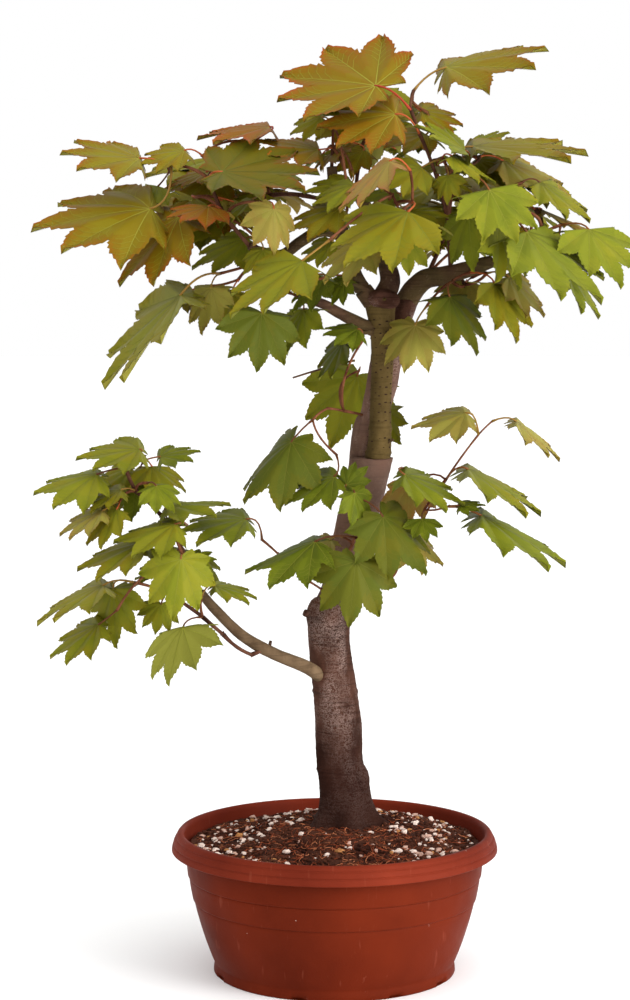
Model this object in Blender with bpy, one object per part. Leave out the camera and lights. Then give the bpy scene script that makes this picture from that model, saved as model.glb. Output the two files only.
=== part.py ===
"""Vine maple bonsai in a round bowl pot.

Sizes are in millimetres and are scaled to metres where a mesh is made.
X runs to the right, Y away from the front and Z up from the underside of the pot.
"""

import math
import random

import bmesh
import bpy
from mathutils import Matrix, Vector
from mathutils.bvhtree import BVHTree

MM = 0.001
GAP = 0.3
UP = Vector((0, 0, 1))
FRONT = Vector((0, -1, 0))

# Pot and soil
POT_SIDES = 40
SOIL_SIDES = 28
RIM_RADIUS = 150.5
CREST_RADIUS = 142
FOOT_RADIUS = 112
POT_HEIGHT = 131
WALL = 3
WALL_STEP = 0.9
WALL_STEPS = (90, 68)
NOTCH_COUNT = 8
NOTCH_WIDTH = 14
NOTCH_HEIGHT = 4
NOTCH_DEPTH = 5
SOIL_EDGE = 118
GROUND = 134
MOUND_FLAT = 46
MOUND_REACH = 125

# Limbs: each station is x, y, z and radius
TRUNK_TOP = 476
TRUNK = (
    (12, 13, GROUND + GAP, 36), (11, 14, 142, 29), (10, 15, 156, 25), (9, 15, 175, 23.5),
    (6, 15, 192, 21.5), (4, 15, 226, 20.5), (0, 15, 261, 20), (-4, 15, 296, 19.4),
    (-5, 15, 316, 20), (-4, 15, 330, 22.5), (1, 15, 343, 20), (7, 14, 362, 18.4),
    (13, 13, 389, 17.5), (21, 11, 418, 17.6), (27, 9, 446, 18.6), (33, 8, TRUNK_TOP, 20),
)
FRONT_STEM = (
    (39, -1, TRUNK_TOP + GAP, 11.8), (41, -1, 494, 11), (42, 0, 529, 10), (43, 2, 556, 9.8),
    (43, 3, 580, 10), (42, 4, 600, 11.5), (41, 6, 616, 13.5), (41, 6, 626, 12),
)
REAR_STEM = (
    (30, 22, TRUNK_TOP + GAP, 13), (31, 24, 494, 13), (37, 26, 518, 13), (44, 28, 545, 14),
    (49, 28, 573, 14), (53, 28, 592, 14), (60, 27, 606, 12.5), (67, 24, 620, 10.5),
)
RIGHT_BOUGH = (
    (67, 24, 620, 10.2), (74, 17, 631, 9.8), (84, 12, 639, 9.2), (100, 5, 642, 8.6),
    (121, -5, 648, 7.2), (142, -12, 655, 5.8),
)
TOP_BOUGH = (
    (44, 6, 622, 10), (50, 8, 636, 9.2), (48, 12, 650, 8.6), (41, 16, 675, 7.3),
    (30, 18, 700, 6.4), (19, 20, 720, 5.4),
)
LEFT_LIMB = (
    (34, 4, 618, 8.6), (21, 0, 636, 7.4), (14, -2, 655, 6.4), (7, 0, 680, 6),
    (1, 2, 707, 5.3), (-3, 5, 740, 4.4),
)
FAR_LEFT_BOUGH = (
    (8, 0, 676, 5.4), (-4, -3, 682, 5.4), (-17, -6, 681, 5.1), (-32, -12, 672, 5),
    (-48, -18, 661, 4.8), (-65, -24, 664, 4.2), (-77, -28, 669, 3.7),
)
LEFT_SIDE_BOUGH = (
    (36, 2, 592, 6.4), (16, -7, 602, 6), (3, -16, 609, 5.2), (-13, -26, 618, 4.6),
    (-31, -36, 623, 4),
)
LOW_LEFT_BOUGH = (
    (2, 5, 266, 7), (-9, -4, 273, 6.4), (-27, -20, 287, 5.8), (-56, -38, 302, 5.4),
    (-82, -50, 319, 5), (-106, -60, 344, 4.6), (-120, -64, 361, 4.2),
)
STANDING_STEP = 13
BOUGH_STEP = 11
ROOT_RIDGES = 5

# Leaf form: lobe angles from the midrib and their lengths as parts of the blade length
LOBE_ANGLES = (-100, -62, -30, 0, 30, 62, 100)
LOBE_LENGTHS = (0.52, 0.8, 0.95, 1.0, 0.95, 0.8, 0.52)
SINUS_DEPTHS = (0.5, 0.68, 0.76, 0.76, 0.68, 0.5)
BASE_ANGLE = 146
BASE_LENGTH = 0.24
BASE_NOTCH = 0.06
LEAF_CENTRE = 0.16
LEAF_THICKNESS = 0.02
LEAF_DROOP = 0.12
PETIOLE_SHARE = 0.42
PETIOLE_RADIUS = 0.95
TWIG_RADIUS = 1.15
TWIG_GROWTH = 0.42
TWIG_ROOM = 0.6
STALK_REACH = 1.35
STALK_WIDTH = 1.5
TWIG_WIDTH = 2.2
NODE_CHOICES = 6
STEM_ROOM = 3.4
LIMB_ROOM = 1.0
MASS_DETAIL = (0.77, 0.8, 0.83, 0.86, 0.9)
NUDGES = (0, 6, -6, 12, -12, 18, -18, 26, -26, 36, -36, 48, -48)

# Each mass of foliage: the limb it springs from, the route of its stem, the middle and half
# sizes of the space that its filling leaves keep to, how many there are, a seed, and the
# leaves that stand at its surface.
# A leaf is x, y, z of its joint, then the bearing, dip and turn in degrees, then its length.
MASSES = {
    "crown_top": dict(
        limb="right_bough", stem=((105, 3, 645), (102, -12, 690), (101, -30, 733)),
        middle=(90, 10, 745), space=(75, 75, 45), fill=3, seed=11,
        leaves=(
            (133, -98, 718, 295, 25, 20, 60), (102, -66, 748, 325, 10, 10, 46),
            (99, -88, 731, 270, 10, 40, 26), (76, -60, 738, 210, 15, 35, 42),
            (115, -50, 753, 155, 10, 20, 50), (53, -45, 785, 191, -5, 35, 70),
            (36, -25, 811, 173, -30, 33, 97), (99, -10, 828, 10, 0, 18, 92),
            (124, -5, 758, 356, 0, 8, 105), (130, 60, 760, 20, 0, 25, 36),
            (131, 35, 747, 335, 10, 25, 54), (153, 22, 746, 329, 5, 17, 70),
            (78, 5, 790, 340, -5, 30, 40),
        )),
    "crown_right": dict(
        limb="right_bough", stem=((142, -12, 655), (160, -22, 668), (185, -20, 685)),
        middle=(172, 5, 692), space=(80, 65, 52), fill=4, seed=12,
        leaves=(
            (119, -36, 698, 275, 5, 40, 52), (142, -66, 688, 287, 5, 10, 60),
            (167, -84, 682, 316, 16, 12, 92), (185, 0, 726, 320, 15, 10, 58),
            (225, -45, 684, 297, 28, 5, 64), (204, -38, 655, 300, 5, 10, 62),
        )),
    "crown_right_under": dict(
        limb="right_bough", stem=((112, -1, 644), (118, 2, 634)),
        middle=(122, 30, 625), space=(58, 55, 45), fill=2, seed=13,
        leaves=(
            (120, 18, 636, 245, 40, 15, 42), (102, -32, 624, 295, 15, 10, 58),
            (143, -25, 636, 290, 15, 0, 58), (157, -2, 641, 310, 5, 20, 48),
            (72, 13, 598, 256, 30, 15, 50),
        )),
    "crown_front": dict(
        limb="top_bough", stem=((41, 16, 675), (45, -20, 700), (50, -60, 714)),
        middle=(30, -40, 705), space=(60, 50, 40), fill=1, seed=14,
        leaves=(
            (62, -120, 699, 222, 28, 20, 82), (29, -100, 676, 225, 5, 25, 58),
            (46, -120, 742, 225, 0, 15, 60), (15, -58, 723, 210, 5, 25, 42),
            (55, -35, 716, 195, 5, 25, 34), (67, -28, 700, 350, 5, 25, 36),
            (-29, -130, 657, 218, 13, 18, 78), (62, -60, 677, 275, 5, 0, 34),
        )),
    "crown_middle": dict(
        limb="left_limb", stem=((-3, 5, 740), (-2, 6, 757)),
        middle=(2, 25, 742), space=(58, 55, 42), fill=3, seed=15,
        leaves=(
            (-15, -5, 755, 175, 5, 20, 60), (-12, 0, 784, 210, 0, 40, 32),
            (26, 8, 755, 220, 10, 35, 34), (12, -30, 724, 193, 0, 30, 40),
            (4, -48, 703, 207, 5, 25, 50), (7, -28, 695, 199, 0, 30, 34),
            (-3, -60, 673, 218, 10, 25, 34),
        )),
    "crown_left": dict(
        limb="far_left_bough", stem=((-77, -28, 669), (-98, -38, 694), (-112, -42, 728)),
        middle=(-135, 5, 705), space=(90, 60, 52), fill=4, seed=16,
        leaves=(
            (-54, -86, 702, 270, 15, -20, 42), (-64, -60, 666, 255, 20, 10, 30),
            (-74, -42, 710, 215, 10, 10, 36), (-112, -58, 704, 215, 50, -10, 46),
            (-100, -65, 734, 358, -6, 24, 90), (-116, -8, 735, 205, 10, 15, 36),
            (-135, -18, 754, 200, 10, 25, 42), (-59, 10, 776, 190, 3, 11, 66),
            (-175, -15, 747, 177, 8, 19, 70), (-164, -48, 702, 190, 2, 29, 105),
            (-139, -78, 695, 230, 5, 25, 80),
        )),
    "crown_left_low": dict(
        limb="far_left_bough", stem=((-55, -20, 662), (-75, -12, 652), (-104, -14, 644)),
        middle=(-92, 10, 655), space=(55, 45, 42), fill=2, seed=17,
        leaves=(
            (-80, -18, 676, 210, 5, 25, 56), (-111, -40, 632, 260, 10, 40, 43),
            (-93, -18, 627, 260, 0, 50, 32), (-131, -5, 628, 210, 5, 30, 36),
            (-137, -30, 626, 231, 0, 14, 112),
        )),
    "crown_under": dict(
        limb="left_side_bough", stem=((-31, -36, 623), (-42, -43, 628)),
        middle=(-40, -30, 625), space=(45, 40, 35), fill=0, seed=18,
        leaves=(
            (-10, -54, 641, 230, 10, 20, 42), (-28, -46, 613, 250, 15, 0, 46),
            (-65, -80, 611, 265, 15, -35, 56), (8, -44, 640, 245, 0, 40, 26),
        )),
    "mid_left": dict(
        limb="rear_stem", stem=((33, 24, 512), (8, 4, 519), (-6, -8, 522)),
        middle=(-10, -10, 525), space=(45, 40, 45), fill=0, seed=31,
        leaves=(
            (20, -18, 595, 190, 15, 30, 34), (7, -32, 583, 238, 0, 22, 42),
            (22, 48, 546, 250, 0, 70, 72), (-39, -36, 494, 232, 12, 26, 71),
            (-1, -52, 464, 210, 0, 25, 50),
        )),
    "mid_front": dict(
        limb="trunk", stem=((12, 13, 385), (16, -22, 400), (20, -45, 418)),
        middle=(15, -60, 420), space=(45, 40, 45), fill=0, seed=32,
        leaves=(
            (10, -62, 457, 40, 0, 70, 25), (17, -66, 452, 285, -5, 60, 34),
            (42, -78, 431, 306, 12, 38, 64), (18, -86, 392, 264, 5, 0, 58),
            (-18, -60, 407, 206, 0, 20, 68), (-4, -16, 403, 235, 0, 30, 30),
        )),
    "mid_right": dict(
        limb="trunk", stem=((5, 14, 355), (45, 4, 360), (56, -12, 374), (70, -22, 403),
                            (83, -28, 430), (100, -30, 459), (129, -33, 500)),
        middle=(115, -30, 450), space=(45, 40, 45), fill=0, seed=33,
        leaves=(
            (63, -38, 414, 315, -10, 45, 48), (77, -62, 428, 280, 40, 0, 26),
            (67, -52, 455, 267, 36, 5, 42), (61, -76, 468, 332, 0, 15, 60),
            (110, -72, 440, 0, 5, 20, 23), (130, -60, 430, 329, 0, 7, 88),
            (119, -46, 470, 328, 0, 5, 77), (117, -38, 520, 197, 0, 22, 50),
            (163, -32, 512, 318, 0, 7, 52),
        )),
    "mid_back": dict(
        limb="rear_stem", stem=((46, 28, 552), (52, 60, 545), (50, 85, 530)),
        middle=(24, 95, 465), space=(45, 55, 70), fill=4, seed=34,
        leaves=((46, 48, 518, 272, 0, -50, 40),)),
    "shoulder_left": dict(
        limb="trunk", stem=((0, 15, 345), (-27, -8, 366), (-51, -20, 390), (-66, -25, 404)),
        middle=(-75, -35, 410), space=(45, 40, 40), fill=0, seed=35,
        leaves=((-80, -46, 425, 192, 5, 15, 60),)),
    "low_left_top": dict(
        limb="low_left_bough", stem=((-120, -64, 362), (-144, -60, 415), (-178, -60, 452),
                                     (-187, -60, 473)),
        middle=(-172, -15, 445), space=(52, 50, 45), fill=4, seed=41,
        leaves=(
            (-174, -60, 489, 190, 5, 20, 56), (-156, -55, 482, 5, -5, 20, 36),
            (-165, -30, 471, 310, 40, 5, 44), (-212, -65, 467, 197, 5, 20, 58),
            (-190, -72, 454, 205, 0, 15, 40), (-206, -82, 436, 210, -5, 20, 44),
            (-193, -92, 438, 230, 0, 30, 42), (-158, -88, 459, 305, 30, 15, 32),
            (-148, -78, 439, 0, 5, 9, 56), (-141, -96, 426, 198, 0, 20, 56),
            (-169, -82, 409, 205, 0, 15, 64), (-129, -70, 391, 0, 0, 35, 24),
        )),
    "low_left_bottom": dict(
        limb="low_left_bough", stem=((-59, -39, 307), (-75, -52, 303), (-100, -64, 323),
                                     (-118, -72, 340), (-150, -74, 362)),
        middle=(-140, -35, 368), space=(55, 50, 42), fill=4, seed=42,
        leaves=(
            (-135, -112, 398, 262, 10, 5, 54), (-107, -80, 369, 342, -5, 9, 40),
            (-205, -92, 371, 210, 6, 6, 66), (-198, -75, 365, 275, 5, -40, 52),
            (-210, -66, 335, 215, 0, 20, 52), (-155, -76, 352, 260, 35, -20, 30),
            (-135, -80, 333, 256, -20, 5, 60),
        )),
    "crown_back_left": dict(
        limb="left_limb", stem=((1, 2, 707), (-30, 40, 715), (-60, 75, 715)),
        middle=(-100, 100, 705), space=(95, 85, 58), fill=14, seed=21, leaves=()),
    "crown_back_right": dict(
        limb="rear_stem", stem=((62, 26, 608), (85, 55, 640), (100, 80, 670)),
        middle=(122, 105, 690), space=(98, 85, 58), fill=14, seed=22, leaves=()),
    "crown_back_top": dict(
        limb="top_bough", stem=((19, 20, 720), (22, 40, 745), (25, 60, 760)),
        middle=(35, 80, 772), space=(72, 75, 60), fill=9, seed=23, leaves=()),
}

TERRACOTTA = ((0.30, 0.055, 0.025), 0.5)
PEAT = ((0.045, 0.02, 0.012), 0.95)
OLD_BARK = ((0.16, 0.10, 0.085), 0.85)
YOUNG_BARK = ((0.21, 0.19, 0.12), 0.7)
LEAF_GREEN = ((0.17, 0.24, 0.035), 0.6)
LEAF_OLIVE = ((0.26, 0.21, 0.03), 0.6)


def material(name, look):
    """A plain finish with the part's colour and roughness."""
    colour, roughness = look
    made = bpy.data.materials.new(name)
    made.use_nodes = True
    shader = made.node_tree.nodes["Principled BSDF"]
    shader.inputs["Base Color"].default_value = (*colour, 1)
    shader.inputs["Roughness"].default_value = roughness
    shader.inputs["Metallic"].default_value = 0
    return made


def add_object(name, points, faces, look=None, smooth=True):
    """One mesh object from points in millimetres."""
    mesh = bpy.data.meshes.new(name)
    mesh.from_pydata([Vector(point) * MM for point in points], [], faces)
    mesh.update()
    part = bpy.data.objects.new(name, mesh)
    bpy.context.scene.collection.objects.link(part)
    if look:
        mesh.materials.append(look)
    if smooth:
        mesh.shade_smooth()
        mesh.set_sharp_from_angle(angle=math.radians(40))
    return part


def stitch(rings, closed_ends=True):
    """Points and faces of a skin laid over rings of equal count."""
    count = len(rings[0])
    points = [point for ring in rings for point in ring]
    faces = []
    for row in range(len(rings) - 1):
        for i in range(count):
            j = (i + 1) % count
            faces.append((row * count + i, row * count + j, (row + 1) * count + j,
                          (row + 1) * count + i))
    if closed_ends:
        faces.append(tuple(range(count))[::-1])
        faces.append(tuple(range(len(points) - count, len(points))))
    return points, faces


def turned(profile, sides, height_at=None):
    """A solid of revolution from (radius, height) pairs that start and end on the axis."""
    points = []
    rings = []
    for radius, height in profile:
        ring = []
        for i in range(sides if radius else 1):
            angle = 2 * math.pi * i / sides
            x, y = radius * math.cos(angle), radius * math.sin(angle)
            ring.append(len(points))
            points.append((x, y, height_at(x, y) if height_at and height is None else height))
        rings.append(ring)
    faces = []
    for low, high in zip(rings, rings[1:]):
        for i in range(sides):
            j = (i + 1) % sides
            face = [low[i % len(low)], low[j % len(low)], high[j % len(high)], high[i % len(high)]]
            faces.append(tuple(dict.fromkeys(face)))
    return points, faces


def smooth_route(stations, step):
    """A curve through the stations, sampled about every step."""
    stops = [Vector(station) for station in stations]
    stops = [2 * stops[0] - stops[1]] + stops + [2 * stops[-1] - stops[-2]]
    route = []
    for a, b, c, d in zip(stops, stops[1:], stops[2:], stops[3:]):
        count = max(1, round((c.to_3d() - b.to_3d()).length / step))
        for k in range(count):
            t = k / count
            route.append(0.5 * (2 * b + (c - a) * t + (2 * a - 5 * b + 4 * c - d) * t ** 2
                                + (3 * b - a - 3 * c + d) * t ** 3))
    route.append(stops[-2])
    return route


def bark_swell(angle, along, phase):
    """The uneven girth of a limb, as a factor of its radius."""
    return (1 + 0.045 * math.sin(2 * angle + phase + along / 31)
            + 0.03 * math.sin(3 * angle - 2 * phase + along / 17))


def limb_solid(stations, sides, phase, level=False, grow=0.0, spare=0.0):
    """A tapering limb; level rings suit a standing stem and give it level cuts."""
    route = smooth_route(stations, STANDING_STEP if level else BOUGH_STEP)
    places = [stop.to_3d() for stop in route]
    rings = []
    for i, stop in enumerate(route):
        ahead = (places[min(i + 1, len(places) - 1)] - places[max(i - 1, 0)]).normalized()
        if level:
            ahead = UP
        across = ahead.cross(FRONT if abs(ahead.z) > 0.8 else UP).normalized()
        beside = ahead.cross(across)
        place = places[i]
        if i in (0, len(route) - 1):
            place = place + ahead * (spare if i else -spare)
        ring = []
        for k in range(sides):
            angle = 2 * math.pi * k / sides
            radius = stop[3] * bark_swell(angle, place.z, phase)
            if level:
                radius *= 1 + root_flare(angle, place.z)
            radius += grow
            ring.append(place + (across * math.cos(angle) + beside * math.sin(angle)) * radius)
        rings.append(ring)
    return stitch(rings)


def root_flare(angle, height):
    """The ridges of the roots, which fade out up the trunk."""
    fade = max(0.0, 1 - (height - GROUND) / 38) ** 2
    return 0.2 * fade * math.cos(ROOT_RIDGES * angle + 0.6)


def boolean(target, other, operation, solver="EXACT"):
    """Apply one Boolean with an object or a collection, and drop what it used."""
    cut = target.modifiers.new("boolean", "BOOLEAN")
    cut.operation = operation
    cut.solver = solver
    if isinstance(other, bpy.types.Collection):
        cut.operand_type = "COLLECTION"
        cut.collection = other
    else:
        cut.object = other
    bpy.context.view_layer.update()
    graph = bpy.context.evaluated_depsgraph_get()
    mesh = bpy.data.meshes.new_from_object(target.evaluated_get(graph))
    mesh.name = target.name
    target.modifiers.clear()
    target.data = mesh
    if isinstance(other, bpy.types.Collection):
        for piece in list(other.objects):
            bpy.data.objects.remove(piece)
        bpy.data.collections.remove(other)
    else:
        bpy.data.objects.remove(other)


def is_closed(mesh):
    """Whether every edge and corner of a mesh belongs to one clean skin."""
    shape = bmesh.new()
    shape.from_mesh(mesh)
    clean = all(edge.is_manifold for edge in shape.edges) and all(
        vert.is_manifold for vert in shape.verts)
    shape.free()
    return clean


def thin_out(part):
    """Take away the small faces that fusing leaves round each joint, if the skin stays whole."""
    for ratio in MASS_DETAIL:
        coarse = part.modifiers.new("coarse", "DECIMATE")
        coarse.ratio = ratio
        coarse.use_collapse_triangulate = True
        bpy.context.view_layer.update()
        graph = bpy.context.evaluated_depsgraph_get()
        mesh = bpy.data.meshes.new_from_object(part.evaluated_get(graph))
        part.modifiers.clear()
        if is_closed(mesh):
            mesh.name = part.name
            part.data = mesh
            return


def keep_main_body(part):
    """Drop the loose scraps that a cut leaves beside the main body."""
    shape = bmesh.new()
    shape.from_mesh(part.data)
    unseen = set(shape.verts)
    bodies = []
    while unseen:
        front = [unseen.pop()]
        body = list(front)
        while front:
            for edge in front.pop().link_edges:
                for vert in edge.verts:
                    if vert in unseen:
                        unseen.remove(vert)
                        front.append(vert)
                        body.append(vert)
        bodies.append(body)
    bodies.sort(key=len)
    for body in bodies[:-1]:
        bmesh.ops.delete(shape, geom=body, context="VERTS")
    shape.to_mesh(part.data)
    shape.free()


def wall_radius(height):
    """Outer radius of the bowl's wall, with its two shallow steps."""
    share = (height - 10) / 108
    radius = FOOT_RADIUS + 1 + 24.5 * math.sin(share * math.pi / 2) ** 0.9
    return radius - WALL_STEP * sum(height < edge for edge in WALL_STEPS)


def make_pot(look):
    """A bowl with a sloping rolled rim, two steps round its wall and a notched foot."""
    foot = [(0, 0), (FOOT_RADIUS, 0), (FOOT_RADIUS - 1, 8)]
    outer = [(wall_radius(h), h) for h in (10.5, 22, 37, 52, 67.4, 68, 79, 89.4, 90, 110)]
    rim = [(RIM_RADIUS - 3, 113.5), (RIM_RADIUS, 115), (RIM_RADIUS, 118),
           (CREST_RADIUS + 4, 127.5), (CREST_RADIUS, POT_HEIGHT), (CREST_RADIUS - 3.4, 128)]
    inner = [(wall_radius(h) - WALL, h) for h in (110, 79, 45, 14)]
    floor = [(FOOT_RADIUS - 6, WALL + 1.5), (0, WALL + 1.5)]
    pot = add_object("pot", *turned(foot + outer + rim + inner + floor, POT_SIDES), look)
    notches = bpy.data.collections.new("notches")
    bpy.context.scene.collection.children.link(notches)
    for i in range(NOTCH_COUNT):
        angle = 2 * math.pi * (i + 0.16) / NOTCH_COUNT
        half = Vector((NOTCH_DEPTH, NOTCH_WIDTH / 2, NOTCH_HEIGHT))
        turn = Matrix.Rotation(angle, 3, "Z")
        middle = turn @ Vector((FOOT_RADIUS, 0, 0))
        corners = [middle + turn @ Vector((x * half.x, y * half.y, z * half.z))
                   for x, y, z in ((-1, -1, -1), (1, -1, -1), (1, 1, -1), (-1, 1, -1),
                                   (-1, -1, 1), (1, -1, 1), (1, 1, 1), (-1, 1, 1))]
        cutter = add_object("notch", *stitch([corners[:4], corners[4:]]), smooth=False)
        bpy.context.scene.collection.objects.unlink(cutter)
        notches.objects.link(cutter)
    boolean(pot, notches, "DIFFERENCE")
    return pot


def soil_height(x, y):
    """The soil rises from the pot's wall to a flat round the trunk's foot."""
    away = math.hypot(x - TRUNK[0][0], y - TRUNK[0][1])
    share = min(1.0, max(0.0, (away - MOUND_FLAT) / (MOUND_REACH - MOUND_FLAT)))
    return GROUND + (SOIL_EDGE - GROUND) * (share * share * (3 - 2 * share))


def make_soil(look):
    """The filling of the bowl, clear of its wall and floor by the gap."""
    low = WALL + 1.5 + GAP
    inset = WALL + 2 * GAP
    side = [(wall_radius(h) - inset, h) for h in (14, 45, 79, 110)]
    top = [(wall_radius(110) - inset - 0.2 - 18 * k, None) for k in range(7)] + [(0, GROUND)]
    profile = [(0, low), (FOOT_RADIUS - 6.5 - GAP, low)] + side + top
    return add_object("soil", *turned(profile, SOIL_SIDES, soil_height), look)


def leaf_frame(leaf):
    """Joint, midrib direction, upper side and blade length of one leaf."""
    x, y, z, bearing, dip, turn, length = leaf
    bearing, dip, turn = (math.radians(angle) for angle in (bearing, dip, turn))
    midrib = Vector((math.cos(bearing) * math.cos(dip), -math.sin(dip),
                     math.sin(bearing) * math.cos(dip)))
    upper = UP - midrib * UP.dot(midrib)
    if upper.length < 0.25:
        upper = FRONT - midrib * FRONT.dot(midrib)
    upper.normalize()
    toward = FRONT - midrib * FRONT.dot(midrib)
    side = midrib.cross(upper)
    upper = upper * math.cos(turn) + side * math.copysign(math.sin(turn), side.dot(toward))
    return Vector((x, y, z)), midrib, upper, length


def leaf_outline():
    """The blade's corners as (angle from the midrib, share of its length)."""
    corners = [(-BASE_ANGLE, BASE_LENGTH)]
    for i, angle in enumerate(LOBE_ANGLES):
        corners.append((angle, LOBE_LENGTHS[i]))
        if i < len(SINUS_DEPTHS):
            corners.append(((angle + LOBE_ANGLES[i + 1]) / 2, SINUS_DEPTHS[i]))
    corners.append((BASE_ANGLE, BASE_LENGTH))
    return corners


def stalk_route(leaf, node=None):
    """A stalk's places, from the blade's notch in an arc back to its twig."""
    joint, midrib, _, length = leaf_frame(leaf)
    notch = joint - midrib * BASE_NOTCH * length
    if node is None:
        return [notch]
    run = (node - notch).length
    bend = 0.5 * (notch - midrib * 0.5 * run) + 0.25 * (notch + node) + UP * 0.04 * run
    return [notch, bend, node + (node - bend).normalized()]


def stalk_rings(leaf, node=None, radius=PETIOLE_RADIUS):
    """Three-sided rings down a stalk, turned with the blade that it carries."""
    _, midrib, upper, _ = leaf_frame(leaf)
    side = upper.cross(midrib)
    route = stalk_route(leaf, node)
    rings = []
    for i, place in enumerate(route):
        back = (route[min(i + 1, len(route) - 1)] - route[i - 1]).normalized() if i else -midrib
        across = (side - back * side.dot(back)).normalized()
        over = across.cross(back)
        rings.append([place + across * 0.87 * radius - over * 0.5 * radius,
                      place + over * radius,
                      place - across * 0.87 * radius - over * 0.5 * radius])
    return rings


def leaf_solid(leaf, node=None, swell=0.0):
    """A thin drooping blade, sharp at its outline, in one skin with its stalk."""
    joint, midrib, upper, length = leaf_frame(leaf)
    side = upper.cross(midrib)
    centre = joint + midrib * LEAF_CENTRE * length
    half = upper * (LEAF_THICKNESS * length / 2 + swell)
    points = [centre + half, centre - half]
    for angle, reach in leaf_outline():
        turn = math.radians(angle)
        out = (midrib * math.cos(turn) + side * math.sin(turn)) * reach * length
        points.append(joint + out - upper * LEAF_DROOP * reach ** 2 * length)
    rim = list(range(2, len(points)))
    rings = stalk_rings(leaf, node)
    right, top, left = (len(points) + k for k in range(3))
    faces = []
    for a, b in zip(rim + [right, top, left], rim[1:] + [right, top, left, rim[0]]):
        faces.append((0, a, b))
    for a, b in zip(rim + [right, left], rim[1:] + [right, left, rim[0]]):
        faces.append((1, b, a))
    for i, ring in enumerate(rings):
        first = len(points)
        points += ring
        if i < len(rings) - 1:
            for k in range(3):
                m = (k + 1) % 3
                faces.append((first + m, first + k, first + 3 + k, first + 3 + m))
        else:
            faces.append((first, first + 2, first + 1))
    return points, faces


def twig_solid(route, start_radius, end_radius):
    """A three-sided twig along a short route."""
    rings = []
    for i, place in enumerate(route):
        ahead = (route[min(i + 1, len(route) - 1)] - route[max(i - 1, 0)]).normalized()
        across = ahead.cross(FRONT if abs(ahead.y) < 0.8 else UP).normalized()
        beside = ahead.cross(across)
        radius = start_radius + (end_radius - start_radius) * i / (len(route) - 1)
        rings.append([place + (across * math.cos(2 * math.pi * k / 3)
                               + beside * math.sin(2 * math.pi * k / 3)) * radius
                      for k in range(3)])
    return stitch(rings)


def tree_of(solid):
    """A search tree over a solid's faces, with its lowest and highest corners."""
    points, faces = solid
    low = Vector(min(point[i] for point in points) for i in range(3))
    high = Vector(max(point[i] for point in points) for i in range(3))
    return BVHTree.FromPolygons(points, faces), low, high


def touches(solid, others):
    """Whether a solid's skin crosses the skin of any of the others."""
    tree, low, high = solid
    for other, other_low, other_high in others:
        if all(low[i] < other_high[i] and high[i] > other_low[i] for i in range(3)):
            if tree.overlap(other):
                return True
    return False


def inside_space(points, spec):
    """Whether all the points lie in the mass's own rounded space."""
    return all(sum(((point[i] - spec["middle"][i]) / spec["space"][i]) ** 2
                   for i in range(3)) < 1 for point in points)


def filling_leaves(spec, rng):
    """Leaves that stand outward from the middle of the space and hang at their tips."""
    for _ in range(spec["fill"] * 40):
        angle = rng.uniform(0, 2 * math.pi)
        rise = rng.uniform(-0.5, 0.8)
        reach = rng.uniform(0.1, 0.6)
        out = Vector((math.cos(angle), math.sin(angle), 0))
        joint = Vector(spec["middle"])
        joint += Vector(out[i] * spec["space"][i] * reach for i in range(3))
        joint.z += rise * spec["space"][2]
        heading = out - UP * rng.uniform(0.2, 0.75)
        heading += Vector((rng.uniform(-0.4, 0.4), rng.uniform(-0.4, 0.4), 0))
        heading.normalize()
        dip = math.degrees(math.asin(-heading.y))
        bearing = math.degrees(math.atan2(heading.z, heading.x))
        yield (*joint, bearing, dip, rng.uniform(0, 30), rng.uniform(46, 78))


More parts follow.
